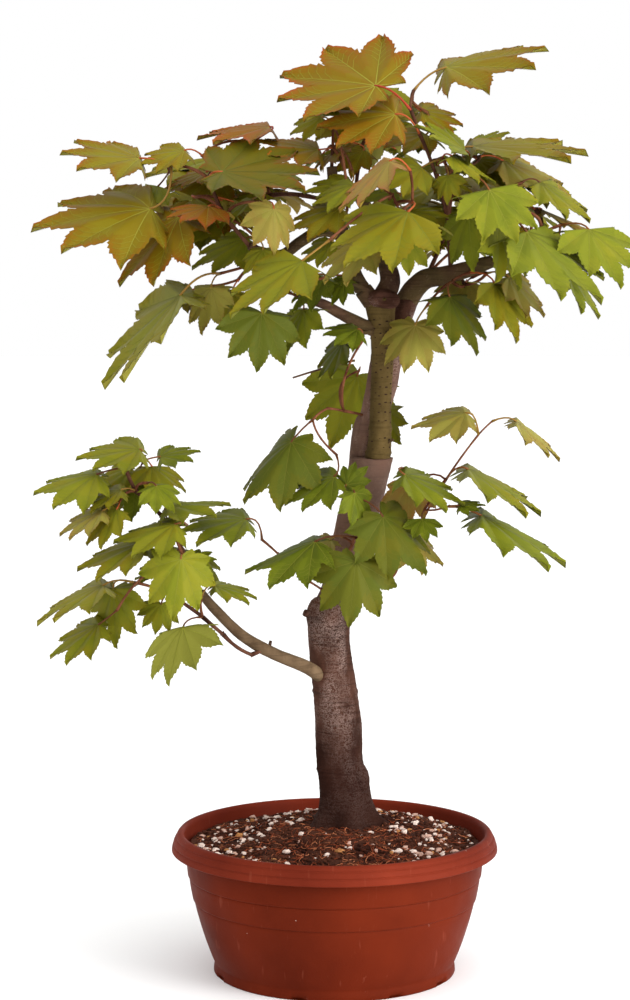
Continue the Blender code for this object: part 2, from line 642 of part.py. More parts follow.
class Mass:
    """The twigs and leaves of one mass as they grow; a node is place, parent and reach."""

    def __init__(self, spec):
        self.spec = spec
        self.nodes = []
        self.leaves = []
        for i, place in enumerate(Vector(stop) for stop in spec["stem"]):
            self.nodes.append((place, i - 1, self.reach_at(i - 1, place)))
        self.blades = []
        self.wood = [tree_of(twig_solid(list(pair), STEM_ROOM, STEM_ROOM))
                     for pair in zip((node[0] for node in self.nodes),
                                     (node[0] for node in self.nodes[1:]))]

    def reach_at(self, parent, place):
        """How far along its twigs a place lies from the foot of the stem."""
        return self.nodes[parent][2] + (place - self.nodes[parent][0]).length if self.nodes else 0

    def nearest_nodes(self, joint, midrib):
        """The nodes that a leaf could spring from, from the least new wood, behind its blade."""
        def cost(i):
            run = self.nodes[i][0] - joint
            ahead = max(0.0, run.normalized().dot(midrib))
            return run.length * (1 + 0.8 * ahead) + 0.15 * self.nodes[i][2]
        return sorted(range(1, len(self.nodes)), key=cost)[:NODE_CHOICES]

    def try_leaf(self, leaf, limbs, others):
        """Add a leaf, with a twig where it stands far off, if they touch nothing."""
        joint, midrib, _, length = leaf_frame(leaf)
        blade = tree_of(leaf_solid(leaf, swell=TWIG_ROOM))
        if touches(blade, self.blades + limbs + others):
            return False
        stalk = PETIOLE_SHARE * length
        for start in self.nearest_nodes(joint, midrib):
            node = self.nodes[start][0]
            run = joint - node
            wood = []
            twig = None
            if run.length > STALK_REACH * stalk:
                back = (run.normalized() + 0.5 * midrib).normalized()
                twig = joint - back * stalk
                wood.append(tree_of(twig_solid([node, twig], TWIG_WIDTH, TWIG_WIDTH)))
                node = twig
            if twig and touches(wood[0], self.blades + [blade]):
                continue
            wood.append(tree_of(twig_solid(stalk_route(leaf, node), STALK_WIDTH, STALK_WIDTH)))
            if any(touches(piece, limbs + others) for piece in wood):
                continue
            if twig:
                self.nodes.append((twig, start, self.reach_at(start, twig)))
                start = len(self.nodes) - 1
            self.leaves.append((leaf, start))
            self.blades.append(blade)
            self.wood += wood
            return True
        return False

    def girths(self):
        """Each node's twig radius, which grows with the leaves that it carries."""
        carried = [0] * len(self.nodes)
        for _, start in self.leaves:
            while start >= 0:
                carried[start] += 1
                start = self.nodes[start][1]
        return [TWIG_RADIUS + TWIG_GROWTH * math.sqrt(count) for count in carried]

    def solids(self):
        """Every twig and every leaf with its stalk as a closed solid."""
        girths = self.girths()
        made = []
        for i, (place, parent, _) in enumerate(self.nodes):
            if parent >= 0 and girths[i] > TWIG_RADIUS:
                start = self.nodes[parent][0]
                ahead = (place - start).normalized()
                thick = min(girths[parent], girths[i] * 1.15)
                made.append(twig_solid([start - ahead * girths[i] * 0.6,
                                        place + ahead * girths[i] * 0.5], thick, girths[i]))
        for leaf, start in self.leaves:
            made.append(leaf_solid(leaf, self.nodes[start][0]))
        return made


def make_mass(name, plan, cutter, look):
    """Fuse a mass into one solid and cut its stem clear of its limb."""
    solids = plan.solids()
    mass = add_object(name, *solids[0], look)
    pieces = bpy.data.collections.new(name)
    bpy.context.scene.collection.children.link(pieces)
    for solid in solids[1:]:
        piece = add_object("piece", *solid, smooth=False)
        bpy.context.scene.collection.objects.unlink(piece)
        pieces.objects.link(piece)
    boolean(mass, pieces, "UNION", "MANIFOLD")
    boolean(mass, cutter, "DIFFERENCE", "MANIFOLD")
    keep_main_body(mass)
    thin_out(mass)
    mass.data.shade_flat()
    return mass


LIMBS = {
    "trunk": (TRUNK, 16, 0.4, True, ()),
    "front_stem": (FRONT_STEM, 12, 1.1, True, ()),
    "rear_stem": (REAR_STEM, 12, 2.3, True, ("front_stem",)),
    "right_bough": (RIGHT_BOUGH, 9, 0.9, False, ("rear_stem", "front_stem")),
    "top_bough": (TOP_BOUGH, 9, 1.7, False, ("front_stem",)),
    "left_limb": (LEFT_LIMB, 8, 2.9, False, ("front_stem", "top_bough")),
    "far_left_bough": (FAR_LEFT_BOUGH, 8, 0.2, False, ("left_limb",)),
    "left_side_bough": (LEFT_SIDE_BOUGH, 8, 1.4, False, ("front_stem",)),
    "low_left_bough": (LOW_LEFT_BOUGH, 8, 2.1, False, ("trunk",)),
}


def limb_shape(name, grow=0.0, spare=0.0):
    """The solid of a named limb, or a slightly larger copy of it to cut with."""
    stations, sides, phase, level, _ = LIMBS[name]
    return limb_solid(stations, sides, phase, level, grow, spare)


def make_limbs(old, young):
    """The trunk, the two stems and the boughs, each cut clear of those it springs from."""
    for name, (_, _, _, _, cut_by) in LIMBS.items():
        look = old if name in ("trunk", "rear_stem") else young
        limb = add_object(name, *limb_shape(name), look)
        for other in cut_by:
            cutter = add_object("cutter", *limb_shape(other, GAP, GAP), smooth=False)
            boolean(limb, cutter, "DIFFERENCE")
        keep_main_body(limb)


def grow_crown():
    """Plan every mass of foliage, each clear of the limbs and of the other masses.

    The leaves at the surface find their places first, then those that fill the spaces.
    A leaf that finds no clear place near its own is skipped.
    """
    limbs = [tree_of(limb_shape(name, LIMB_ROOM)) for name in LIMBS]
    plans = {name: Mass(spec) for name, spec in MASSES.items()}

    def others(name):
        return [tree for other, plan in plans.items() if other != name
                for tree in plan.blades + plan.wood]

    for name, plan in plans.items():
        for leaf in plan.spec["leaves"]:
            for shift in NUDGES:
                moved = (leaf[0], leaf[1] + shift, *leaf[2:])
                if plan.try_leaf(moved, limbs, others(name)):
                    break
    for name, plan in plans.items():
        full = len(plan.leaves) + plan.spec["fill"]
        around = others(name)
        for leaf in filling_leaves(plan.spec, random.Random(plan.spec["seed"])):
            if len(plan.leaves) >= full:
                break
            if inside_space(leaf_solid(leaf)[0], plan.spec):
                plan.try_leaf(leaf, limbs, around)
    return plans


def main():
    for leftover in list(bpy.data.objects):
        bpy.data.objects.remove(leftover)
    make_pot(material("terracotta_plastic", TERRACOTTA))
    make_soil(material("peat", PEAT))
    make_limbs(material("old_bark", OLD_BARK), material("young_bark", YOUNG_BARK))
    green = material("leaf_green", LEAF_GREEN)
    olive = material("leaf_olive", LEAF_OLIVE)
    for name, plan in grow_crown().items():
        limb = plan.spec["limb"]
        cutter = add_object("cutter", *limb_shape(limb, GAP, GAP), smooth=False)
        make_mass(name, plan, cutter, olive if name.startswith("crown") else green)


main()
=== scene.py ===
"""Looks of the vine maple bonsai: leaves, twigs, bark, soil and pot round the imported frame.

Sizes are in millimetres and are scaled to metres where a mesh is made.
X runs to the right, Y away from the front and Z up from the underside of the pot.
"""

import math
import random

import bpy
import numpy as np
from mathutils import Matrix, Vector, noise
from mathutils.bvhtree import BVHTree


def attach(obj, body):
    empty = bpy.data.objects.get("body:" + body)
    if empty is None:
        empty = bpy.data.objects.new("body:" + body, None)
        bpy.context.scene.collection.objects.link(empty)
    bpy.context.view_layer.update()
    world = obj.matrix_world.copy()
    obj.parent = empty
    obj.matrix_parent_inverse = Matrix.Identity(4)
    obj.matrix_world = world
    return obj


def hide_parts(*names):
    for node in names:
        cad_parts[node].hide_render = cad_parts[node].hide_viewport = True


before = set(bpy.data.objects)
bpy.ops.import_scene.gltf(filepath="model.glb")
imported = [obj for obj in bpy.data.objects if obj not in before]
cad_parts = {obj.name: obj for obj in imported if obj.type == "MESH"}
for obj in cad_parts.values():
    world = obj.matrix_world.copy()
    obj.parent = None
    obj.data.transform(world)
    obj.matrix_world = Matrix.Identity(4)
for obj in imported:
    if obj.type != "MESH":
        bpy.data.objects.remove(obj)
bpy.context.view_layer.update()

MM = 0.001
GAP = 0.3
UP = Vector((0, 0, 1))
FRONT = Vector((0, -1, 0))

# Pot and soil
RIM_RADIUS = 150.5
CREST_RADIUS = 142
FOOT_RADIUS = 112
POT_HEIGHT = 131
WALL = 3
WALL_STEP = 0.9
WALL_STEPS = (90, 68)
SOIL_EDGE = 118
GROUND = 134
MOUND_FLAT = 46
MOUND_REACH = 125

# Limbs: each station is x, y, z and radius
TRUNK_TOP = 476
TRUNK = (
    (12, 13, GROUND + GAP, 36), (11, 14, 142, 29), (10, 15, 156, 25), (9, 15, 175, 23.5),
    (6, 15, 192, 21.5), (4, 15, 226, 20.5), (0, 15, 261, 20), (-4, 15, 296, 19.4),
    (-5, 15, 316, 20), (-4, 15, 330, 22.5), (1, 15, 343, 20), (7, 14, 362, 18.4),
    (13, 13, 389, 17.5), (21, 11, 418, 17.6), (27, 9, 446, 18.6), (33, 8, TRUNK_TOP, 20),
)
FRONT_STEM = (
    (39, -1, TRUNK_TOP + GAP, 11.8), (41, -1, 494, 11), (42, 0, 529, 10), (43, 2, 556, 9.8),
    (43, 3, 580, 10), (42, 4, 600, 11.5), (41, 6, 616, 13.5), (41, 6, 626, 12),
)
REAR_STEM = (
    (30, 22, TRUNK_TOP + GAP, 13), (31, 24, 494, 13), (37, 26, 518, 13), (44, 28, 545, 14),
    (49, 28, 573, 14), (53, 28, 592, 14), (60, 27, 606, 12.5), (67, 24, 620, 10.5),
)
RIGHT_BOUGH = (
    (67, 24, 620, 10.2), (74, 17, 631, 9.8), (84, 12, 639, 9.2), (100, 5, 642, 8.6),
    (121, -5, 648, 7.2), (142, -12, 655, 5.8),
)
TOP_BOUGH = (
    (44, 6, 622, 10), (50, 8, 636, 9.2), (48, 12, 650, 8.6), (41, 16, 675, 7.3),
    (30, 18, 700, 6.4), (19, 20, 720, 5.4),
)
LEFT_LIMB = (
    (34, 4, 618, 8.6), (21, 0, 636, 7.4), (14, -2, 655, 6.4), (7, 0, 680, 6),
    (1, 2, 707, 5.3), (-3, 5, 740, 4.4),
)
FAR_LEFT_BOUGH = (
    (8, 0, 676, 5.4), (-4, -3, 682, 5.4), (-17, -6, 681, 5.1), (-32, -12, 672, 5),
    (-48, -18, 661, 4.8), (-65, -24, 664, 4.2), (-77, -28, 669, 3.7),
)
LEFT_SIDE_BOUGH = (
    (36, 2, 592, 6.4), (16, -7, 602, 6), (3, -16, 609, 5.2), (-13, -26, 618, 4.6),
    (-31, -36, 623, 4),
)
LOW_LEFT_BOUGH = (
    (2, 5, 266, 7), (-9, -4, 273, 6.4), (-27, -20, 287, 5.8), (-56, -38, 302, 5.4),
    (-82, -50, 319, 5), (-106, -60, 344, 4.6), (-120, -64, 361, 4.2),
)
STANDING_STEP = 13
BOUGH_STEP = 11
ROOT_RIDGES = 5

# Leaf form: lobe angles from the midrib and their lengths as parts of the blade length
LOBE_ANGLES = (-100, -62, -30, 0, 30, 62, 100)
LOBE_LENGTHS = (0.52, 0.8, 0.95, 1.0, 0.95, 0.8, 0.52)
SINUS_DEPTHS = (0.5, 0.68, 0.76, 0.76, 0.68, 0.5)
BASE_ANGLE = 146
BASE_LENGTH = 0.24
BASE_NOTCH = 0.06
LEAF_CENTRE = 0.16
LEAF_THICKNESS = 0.02
LEAF_DROOP = 0.12
PETIOLE_SHARE = 0.42
PETIOLE_RADIUS = 0.95
TWIG_RADIUS = 1.15
TWIG_GROWTH = 0.42
TWIG_ROOM = 0.6
STALK_REACH = 1.35
STALK_WIDTH = 1.5
TWIG_WIDTH = 2.2
NODE_CHOICES = 6
FILL_TRIES = 40
STEM_ROOM = 3.4
LIMB_ROOM = 1.0
NUDGES = (0, 6, -6, 12, -12, 18, -18, 26, -26, 36, -36, 48, -48)

# Each mass of foliage: the limb it springs from, the route of its stem, the middle and half
# sizes of the space that its filling leaves keep to, how many there are, a seed, and the
# leaves that stand at its surface.
# A leaf is x, y, z of its joint, then the bearing, dip and turn in degrees, then its length.
MASSES = {
    "crown_top": dict(
        limb="right_bough", stem=((105, 3, 645), (102, -12, 690), (101, -30, 733)),
        middle=(90, 10, 745), space=(75, 75, 45), fill=3, seed=11,
        leaves=(
            (133, -98, 718, 295, 25, 20, 60), (102, -66, 748, 325, 10, 10, 46),
            (99, -88, 731, 270, 10, 40, 26), (76, -60, 738, 210, 15, 35, 42),
            (115, -50, 753, 155, 10, 20, 50), (53, -45, 785, 191, -5, 35, 70),
            (36, -25, 811, 173, -30, 33, 97), (99, -10, 828, 10, 0, 18, 92),
            (124, -5, 758, 356, 0, 8, 105), (130, 60, 760, 20, 0, 25, 36),
            (131, 35, 747, 335, 10, 25, 54), (153, 22, 746, 329, 5, 17, 70),
            (78, 5, 790, 340, -5, 30, 40),
        )),
    "crown_right": dict(
        limb="right_bough", stem=((142, -12, 655), (160, -22, 668), (185, -20, 685)),
        middle=(172, 5, 692), space=(80, 65, 52), fill=4, seed=12,
        leaves=(
            (119, -36, 698, 275, 5, 40, 52), (142, -66, 688, 287, 5, 10, 60),
            (167, -84, 682, 316, 16, 12, 92), (185, 0, 726, 320, 15, 10, 58),
            (225, -45, 684, 297, 28, 5, 64), (204, -38, 655, 300, 5, 10, 62),
        )),
    "crown_right_under": dict(
        limb="right_bough", stem=((112, -1, 644), (118, 2, 634)),
        middle=(122, 30, 625), space=(58, 55, 45), fill=2, seed=13,
        leaves=(
            (120, 18, 636, 245, 40, 15, 42), (102, -32, 624, 295, 15, 10, 58),
            (143, -25, 636, 290, 15, 0, 58), (157, -2, 641, 310, 5, 20, 48),
            (72, 13, 598, 256, 30, 15, 50),
        )),
    "crown_front": dict(
        limb="top_bough", stem=((41, 16, 675), (45, -20, 700), (50, -60, 714)),
        middle=(30, -40, 705), space=(60, 50, 40), fill=1, seed=14,
        leaves=(
            (62, -120, 699, 222, 28, 20, 82), (29, -100, 676, 225, 5, 25, 58),
            (46, -120, 742, 225, 0, 15, 60), (15, -58, 723, 210, 5, 25, 42),
            (55, -35, 716, 195, 5, 25, 34), (67, -28, 700, 350, 5, 25, 36),
            (-29, -130, 657, 218, 13, 18, 78), (62, -60, 677, 275, 5, 0, 34),
        )),
    "crown_middle": dict(
        limb="left_limb", stem=((-3, 5, 740), (-2, 6, 757)),
        middle=(2, 25, 742), space=(58, 55, 42), fill=3, seed=15,
        leaves=(
            (-15, -5, 755, 175, 5, 20, 60), (-12, 0, 784, 210, 0, 40, 32),
            (26, 8, 755, 220, 10, 35, 34), (12, -30, 724, 193, 0, 30, 40),
            (4, -48, 703, 207, 5, 25, 50), (7, -28, 695, 199, 0, 30, 34),
            (-3, -60, 673, 218, 10, 25, 34),
        )),
    "crown_left": dict(
        limb="far_left_bough", stem=((-77, -28, 669), (-98, -38, 694), (-112, -42, 728)),
        middle=(-135, 5, 705), space=(90, 60, 52), fill=4, seed=16,
        leaves=(
            (-54, -86, 702, 270, 15, -20, 42), (-64, -60, 666, 255, 20, 10, 30),
            (-74, -42, 710, 215, 10, 10, 36), (-112, -58, 704, 215, 50, -10, 46),
            (-100, -65, 734, 358, -6, 24, 90), (-116, -8, 735, 205, 10, 15, 36),
            (-135, -18, 754, 200, 10, 25, 42), (-59, 10, 776, 190, 3, 11, 66),
            (-175, -15, 747, 177, 8, 19, 70), (-164, -48, 702, 190, 2, 29, 105),
            (-139, -78, 695, 230, 5, 25, 80),
        )),
    "crown_left_low": dict(
        limb="far_left_bough", stem=((-55, -20, 662), (-75, -12, 652), (-104, -14, 644)),
        middle=(-92, 10, 655), space=(55, 45, 42), fill=2, seed=17,
        leaves=(
            (-80, -18, 676, 210, 5, 25, 56), (-111, -40, 632, 260, 10, 40, 43),
            (-93, -18, 627, 260, 0, 50, 32), (-131, -5, 628, 210, 5, 30, 36),
            (-137, -30, 626, 231, 0, 14, 112),
        )),
    "crown_under": dict(
        limb="left_side_bough", stem=((-31, -36, 623), (-42, -43, 628)),
        middle=(-40, -30, 625), space=(45, 40, 35), fill=0, seed=18,
        leaves=(
            (-10, -54, 641, 230, 10, 20, 42), (-28, -46, 613, 250, 15, 0, 46),
            (-65, -80, 611, 265, 15, -35, 56), (8, -44, 640, 245, 0, 40, 26),
        )),
    "mid_left": dict(
        limb="rear_stem", stem=((33, 24, 512), (8, 4, 519), (-6, -8, 522)),
        middle=(-10, -10, 525), space=(45, 40, 45), fill=0, seed=31,
        leaves=(
            (20, -18, 595, 190, 15, 30, 34), (7, -32, 583, 238, 0, 22, 42),
            (22, 48, 546, 250, 0, 70, 72), (-39, -36, 494, 232, 12, 26, 71),
            (-1, -52, 464, 210, 0, 25, 50),
        )),
    "mid_front": dict(
        limb="trunk", stem=((12, 13, 385), (16, -22, 400), (20, -45, 418)),
        middle=(15, -60, 420), space=(45, 40, 45), fill=0, seed=32,
        leaves=(
            (10, -62, 457, 40, 0, 70, 25), (17, -66, 452, 285, -5, 60, 34),
            (42, -78, 431, 306, 12, 38, 64), (18, -86, 392, 264, 5, 0, 58),
            (-18, -60, 407, 206, 0, 20, 68), (-4, -16, 403, 235, 0, 30, 30),
        )),
    "mid_right": dict(
        limb="trunk", stem=((5, 14, 355), (45, 4, 360), (56, -12, 374), (70, -22, 403),
                            (83, -28, 430), (100, -30, 459), (129, -33, 500)),
        middle=(115, -30, 450), space=(45, 40, 45), fill=0, seed=33,
        leaves=(
            (63, -38, 414, 315, -10, 45, 48), (77, -62, 428, 280, 40, 0, 26),
            (67, -52, 455, 267, 36, 5, 42), (61, -76, 468, 332, 0, 15, 60),
            (110, -72, 440, 0, 5, 20, 23), (130, -60, 430, 329, 0, 7, 88),
            (119, -46, 470, 328, 0, 5, 77), (117, -38, 520, 197, 0, 22, 50),
            (163, -32, 512, 318, 0, 7, 52),
        )),
    "mid_back": dict(
        limb="rear_stem", stem=((46, 28, 552), (52, 60, 545), (50, 85, 530)),
        middle=(24, 95, 465), space=(45, 55, 70), fill=4, seed=34,
        leaves=((46, 48, 518, 272, 0, -50, 40),)),
    "shoulder_left": dict(
        limb="trunk", stem=((0, 15, 345), (-27, -8, 366), (-51, -20, 390), (-66, -25, 404)),
        middle=(-75, -35, 410), space=(45, 40, 40), fill=0, seed=35,
        leaves=((-80, -46, 425, 192, 5, 15, 60),)),
    "low_left_top": dict(
        limb="low_left_bough", stem=((-120, -64, 362), (-144, -60, 415), (-178, -60, 452),
                                     (-187, -60, 473)),
        middle=(-172, -15, 445), space=(52, 50, 45), fill=4, seed=41,
        leaves=(
            (-174, -60, 489, 190, 5, 20, 56), (-156, -55, 482, 5, -5, 20, 36),
            (-165, -30, 471, 310, 40, 5, 44), (-212, -65, 467, 197, 5, 20, 58),
            (-190, -72, 454, 205, 0, 15, 40), (-206, -82, 436, 210, -5, 20, 44),
            (-193, -92, 438, 230, 0, 30, 42), (-158, -88, 459, 305, 30, 15, 32),
            (-148, -78, 439, 0, 5, 9, 56), (-141, -96, 426, 198, 0, 20, 56),
            (-169, -82, 409, 205, 0, 15, 64), (-129, -70, 391, 0, 0, 35, 24),
        )),
    "low_left_bottom": dict(
        limb="low_left_bough", stem=((-59, -39, 307), (-75, -52, 303), (-100, -64, 323),
                                     (-118, -72, 340), (-150, -74, 362)),
        middle=(-140, -35, 368), space=(55, 50, 42), fill=4, seed=42,
        leaves=(
            (-135, -112, 398, 262, 10, 5, 54), (-107, -80, 369, 342, -5, 9, 40),
            (-205, -92, 371, 210, 6, 6, 66), (-198, -75, 365, 275, 5, -40, 52),
            (-210, -66, 335, 215, 0, 20, 52), (-155, -76, 352, 260, 35, -20, 30),
            (-135, -80, 333, 256, -20, 5, 60),
        )),
    "crown_back_left": dict(
        limb="left_limb", stem=((1, 2, 707), (-30, 40, 715), (-60, 75, 715)),
        middle=(-100, 100, 705), space=(95, 85, 58), fill=14, seed=21, leaves=()),
    "crown_back_right": dict(
        limb="rear_stem", stem=((62, 26, 608), (85, 55, 640), (100, 80, 670)),
        middle=(122, 105, 690), space=(98, 85, 58), fill=14, seed=22, leaves=()),
    "crown_back_top": dict(
        limb="top_bough", stem=((19, 20, 720), (22, 40, 745), (25, 60, 760)),
        middle=(35, 80, 772), space=(72, 75, 60), fill=9, seed=23, leaves=()),
}


def turns(count):
    """Equal steps of angle once round a circle."""
    return [2 * math.pi * k / count for k in range(count)]


def band(first, second, count, turned=False):
    """Quads between two rings of points, which start at first and at second."""
    faces = []
    for i in range(count):
        j = (i + 1) % count
        if turned:
            faces.append((first + i, second + i, second + j, first + j))
        else:
            faces.append((first + i, first + j, second + j, second + i))
    return faces


def stitch(rings):
    """Points and faces of a skin laid over rings of equal count and closed at its ends."""
    count = len(rings[0])
    points = [point for ring in rings for point in ring]
    faces = []
    for first in range(0, len(points) - count, count):
        faces += band(first, first + count, count)
    faces.append(tuple(range(count))[::-1])
    faces.append(tuple(range(len(points) - count, len(points))))
    return points, faces


def smooth_route(stations, step):
    """A curve through the stations, sampled about every step."""
    stops = [Vector(station) for station in stations]
    stops = [2 * stops[0] - stops[1]] + stops + [2 * stops[-1] - stops[-2]]
    route = []
    for a, b, c, d in zip(stops, stops[1:], stops[2:], stops[3:]):
        count = max(1, round((c.to_3d() - b.to_3d()).length / step))
        for k in range(count):
            t = k / count
            route.append(0.5 * (2 * b + (c - a) * t + (2 * a - 5 * b + 4 * c - d) * t ** 2
                                + (3 * b - a - 3 * c + d) * t ** 3))
    route.append(stops[-2])
    return route


def bark_swell(angle, along, phase):
    """The uneven girth of a limb, as a factor of its radius."""
    return (1 + 0.045 * math.sin(2 * angle + phase + along / 31)
            + 0.03 * math.sin(3 * angle - 2 * phase + along / 17))


def limb_rings(name, route, sides, relief):
    """Rings round a named limb along its route, each corner out by its own relief.

    Level rings suit a standing stem. The relief goes by the corner's place, its angle round
    the limb and the height of its ring.
    """
    _, _, phase, level = LIMBS[name]
    places = [stop.to_3d() for stop in route]
    rings = []
    for i, stop in enumerate(route):
        ahead = (places[min(i + 1, len(places) - 1)] - places[max(i - 1, 0)]).normalized()
        if level:
            ahead = UP
        across = ahead.cross(FRONT if abs(ahead.z) > 0.8 else UP).normalized()
        beside = ahead.cross(across)
        place = places[i]
        ring = []
        for angle in turns(sides):
            radius = stop[3] * bark_swell(angle, place.z, phase)
            if level:
                radius *= 1 + root_flare(angle, place.z)
            out = across * math.cos(angle) + beside * math.sin(angle)
            ring.append(place + out * (radius + relief(place + out * radius, angle, place.z)))
        rings.append(ring)
    return rings


def root_flare(angle, height):
    """The ridges of the roots, which fade out up the trunk."""
    fade = max(0.0, 1 - (height - GROUND) / 38) ** 2
    return 0.2 * fade * math.cos(ROOT_RIDGES * angle + 0.6)


def wall_radius(height):
    """Outer radius of the bowl's wall, with its two shallow steps."""
    share = (height - 10) / 108
    radius = FOOT_RADIUS + 1 + 24.5 * math.sin(share * math.pi / 2) ** 0.9
    return radius - WALL_STEP * sum(height < edge for edge in WALL_STEPS)


def soil_height(x, y):
    """The soil rises from the pot's wall to a flat round the trunk's foot."""
    away = math.hypot(x - TRUNK[0][0], y - TRUNK[0][1])
    share = min(1.0, max(0.0, (away - MOUND_FLAT) / (MOUND_REACH - MOUND_FLAT)))
    return GROUND + (SOIL_EDGE - GROUND) * (share * share * (3 - 2 * share))


def leaf_frame(leaf):
    """Joint, midrib direction, upper side and blade length of one leaf."""
    x, y, z, bearing, dip, turn, length = leaf
    bearing, dip, turn = (math.radians(angle) for angle in (bearing, dip, turn))
    midrib = Vector((math.cos(bearing) * math.cos(dip), -math.sin(dip),
                     math.sin(bearing) * math.cos(dip)))
    upper = UP - midrib * UP.dot(midrib)
    if upper.length < 0.25:
        upper = FRONT - midrib * FRONT.dot(midrib)
    upper.normalize()
    toward = FRONT - midrib * FRONT.dot(midrib)
    side = midrib.cross(upper)
    upper = upper * math.cos(turn) + side * math.copysign(math.sin(turn), side.dot(toward))
    return Vector((x, y, z)), midrib, upper, length


def leaf_outline():
    """The blade's corners as (angle from the midrib, share of its length)."""
    corners = [(-BASE_ANGLE, BASE_LENGTH)]
    for i, angle in enumerate(LOBE_ANGLES):
        corners.append((angle, LOBE_LENGTHS[i]))
        if i < len(SINUS_DEPTHS):
            corners.append(((angle + LOBE_ANGLES[i + 1]) / 2, SINUS_DEPTHS[i]))
    corners.append((BASE_ANGLE, BASE_LENGTH))
    return corners


def stalk_route(leaf, node):
    """A stalk's places, from the blade's notch in an arc back to its twig."""
    joint, midrib, _, length = leaf_frame(leaf)
    notch = joint - midrib * BASE_NOTCH * length
    run = (node - notch).length
    bend = 0.5 * (notch - midrib * 0.5 * run) + 0.25 * (notch + node) + UP * 0.04 * run
    return [notch, bend, node + (node - bend).normalized()]


def stalk_foot(leaf):
    """The three corners at a blade's notch where its stalk begins."""
    joint, midrib, upper, length = leaf_frame(leaf)
    side = upper.cross(midrib)
    back = -midrib
    across = (side - back * side.dot(back)).normalized()
    over = across.cross(back)
    place = joint - midrib * BASE_NOTCH * length
    return [place + across * 0.87 * PETIOLE_RADIUS - over * 0.5 * PETIOLE_RADIUS,
            place + over * PETIOLE_RADIUS,
            place - across * 0.87 * PETIOLE_RADIUS - over * 0.5 * PETIOLE_RADIUS]


def leaf_solid(leaf, swell=0.0):
    """A thin drooping blade, sharp at its outline, with the foot of its stalk."""
    joint, midrib, upper, length = leaf_frame(leaf)
    side = upper.cross(midrib)
    centre = joint + midrib * LEAF_CENTRE * length
    half = upper * (LEAF_THICKNESS * length / 2 + swell)
    points = [centre + half, centre - half]
    for angle, reach in leaf_outline():
        turn = math.radians(angle)
        out = (midrib * math.cos(turn) + side * math.sin(turn)) * reach * length
        points.append(joint + out - upper * LEAF_DROOP * reach ** 2 * length)
    rim = list(range(2, len(points)))
    right, top, left = (len(points) + k for k in range(3))
    faces = []
    for a, b in zip(rim + [right, top, left], rim[1:] + [right, top, left, rim[0]]):
        faces.append((0, a, b))
    for a, b in zip(rim + [right, left], rim[1:] + [right, left, rim[0]]):
        faces.append((1, b, a))
    faces.append((right, left, top))
    return points + stalk_foot(leaf), faces


def twig_solid(route, start_radius, end_radius):
    """A three-sided twig along a short route."""
    rings = []
    for i, place in enumerate(route):
        ahead = (route[min(i + 1, len(route) - 1)] - route[max(i - 1, 0)]).normalized()
        across = ahead.cross(FRONT if abs(ahead.y) < 0.8 else UP).normalized()
        beside = ahead.cross(across)
        radius = start_radius + (end_radius - start_radius) * i / (len(route) - 1)
        rings.append([place + (across * math.cos(angle) + beside * math.sin(angle)) * radius
                      for angle in turns(3)])
    return stitch(rings)


def tree_of(solid):
    """A search tree over a solid's faces, with its lowest and highest corners."""
    points, faces = solid
    low = Vector(min(point[i] for point in points) for i in range(3))
    high = Vector(max(point[i] for point in points) for i in range(3))
    return BVHTree.FromPolygons(points, faces), low, high


def touches(solid, others):
    """Whether a solid's skin crosses the skin of any of the others."""
    tree, low, high = solid
    for other, other_low, other_high in others:
        if all(low[i] < other_high[i] and high[i] > other_low[i] for i in range(3)):
            if tree.overlap(other):
                return True
    return False


def inside_space(points, spec):
    """Whether all the points lie in the mass's own rounded space."""
    return all(sum(((point[i] - spec["middle"][i]) / spec["space"][i]) ** 2
                   for i in range(3)) < 1 for point in points)


def filling_leaves(spec, count, rng):
    """Leaves that stand outward from the middle of the space and hang at their tips."""
    for _ in range(count * FILL_TRIES):
        angle = rng.uniform(0, 2 * math.pi)
        rise = rng.uniform(-0.5, 0.8)
        reach = rng.uniform(0.1, 0.6)
        out = Vector((math.cos(angle), math.sin(angle), 0))
        joint = Vector(spec["middle"])
        joint += Vector(out[i] * spec["space"][i] * reach for i in range(3))
        joint.z += rise * spec["space"][2]
        heading = out - UP * rng.uniform(0.2, 0.75)
        heading += Vector((rng.uniform(-0.4, 0.4), rng.uniform(-0.4, 0.4), 0))
        heading.normalize()
        dip = math.degrees(math.asin(-heading.y))
        bearing = math.degrees(math.atan2(heading.z, heading.x))
        yield (*joint, bearing, dip, rng.uniform(0, 30), rng.uniform(46, 78))


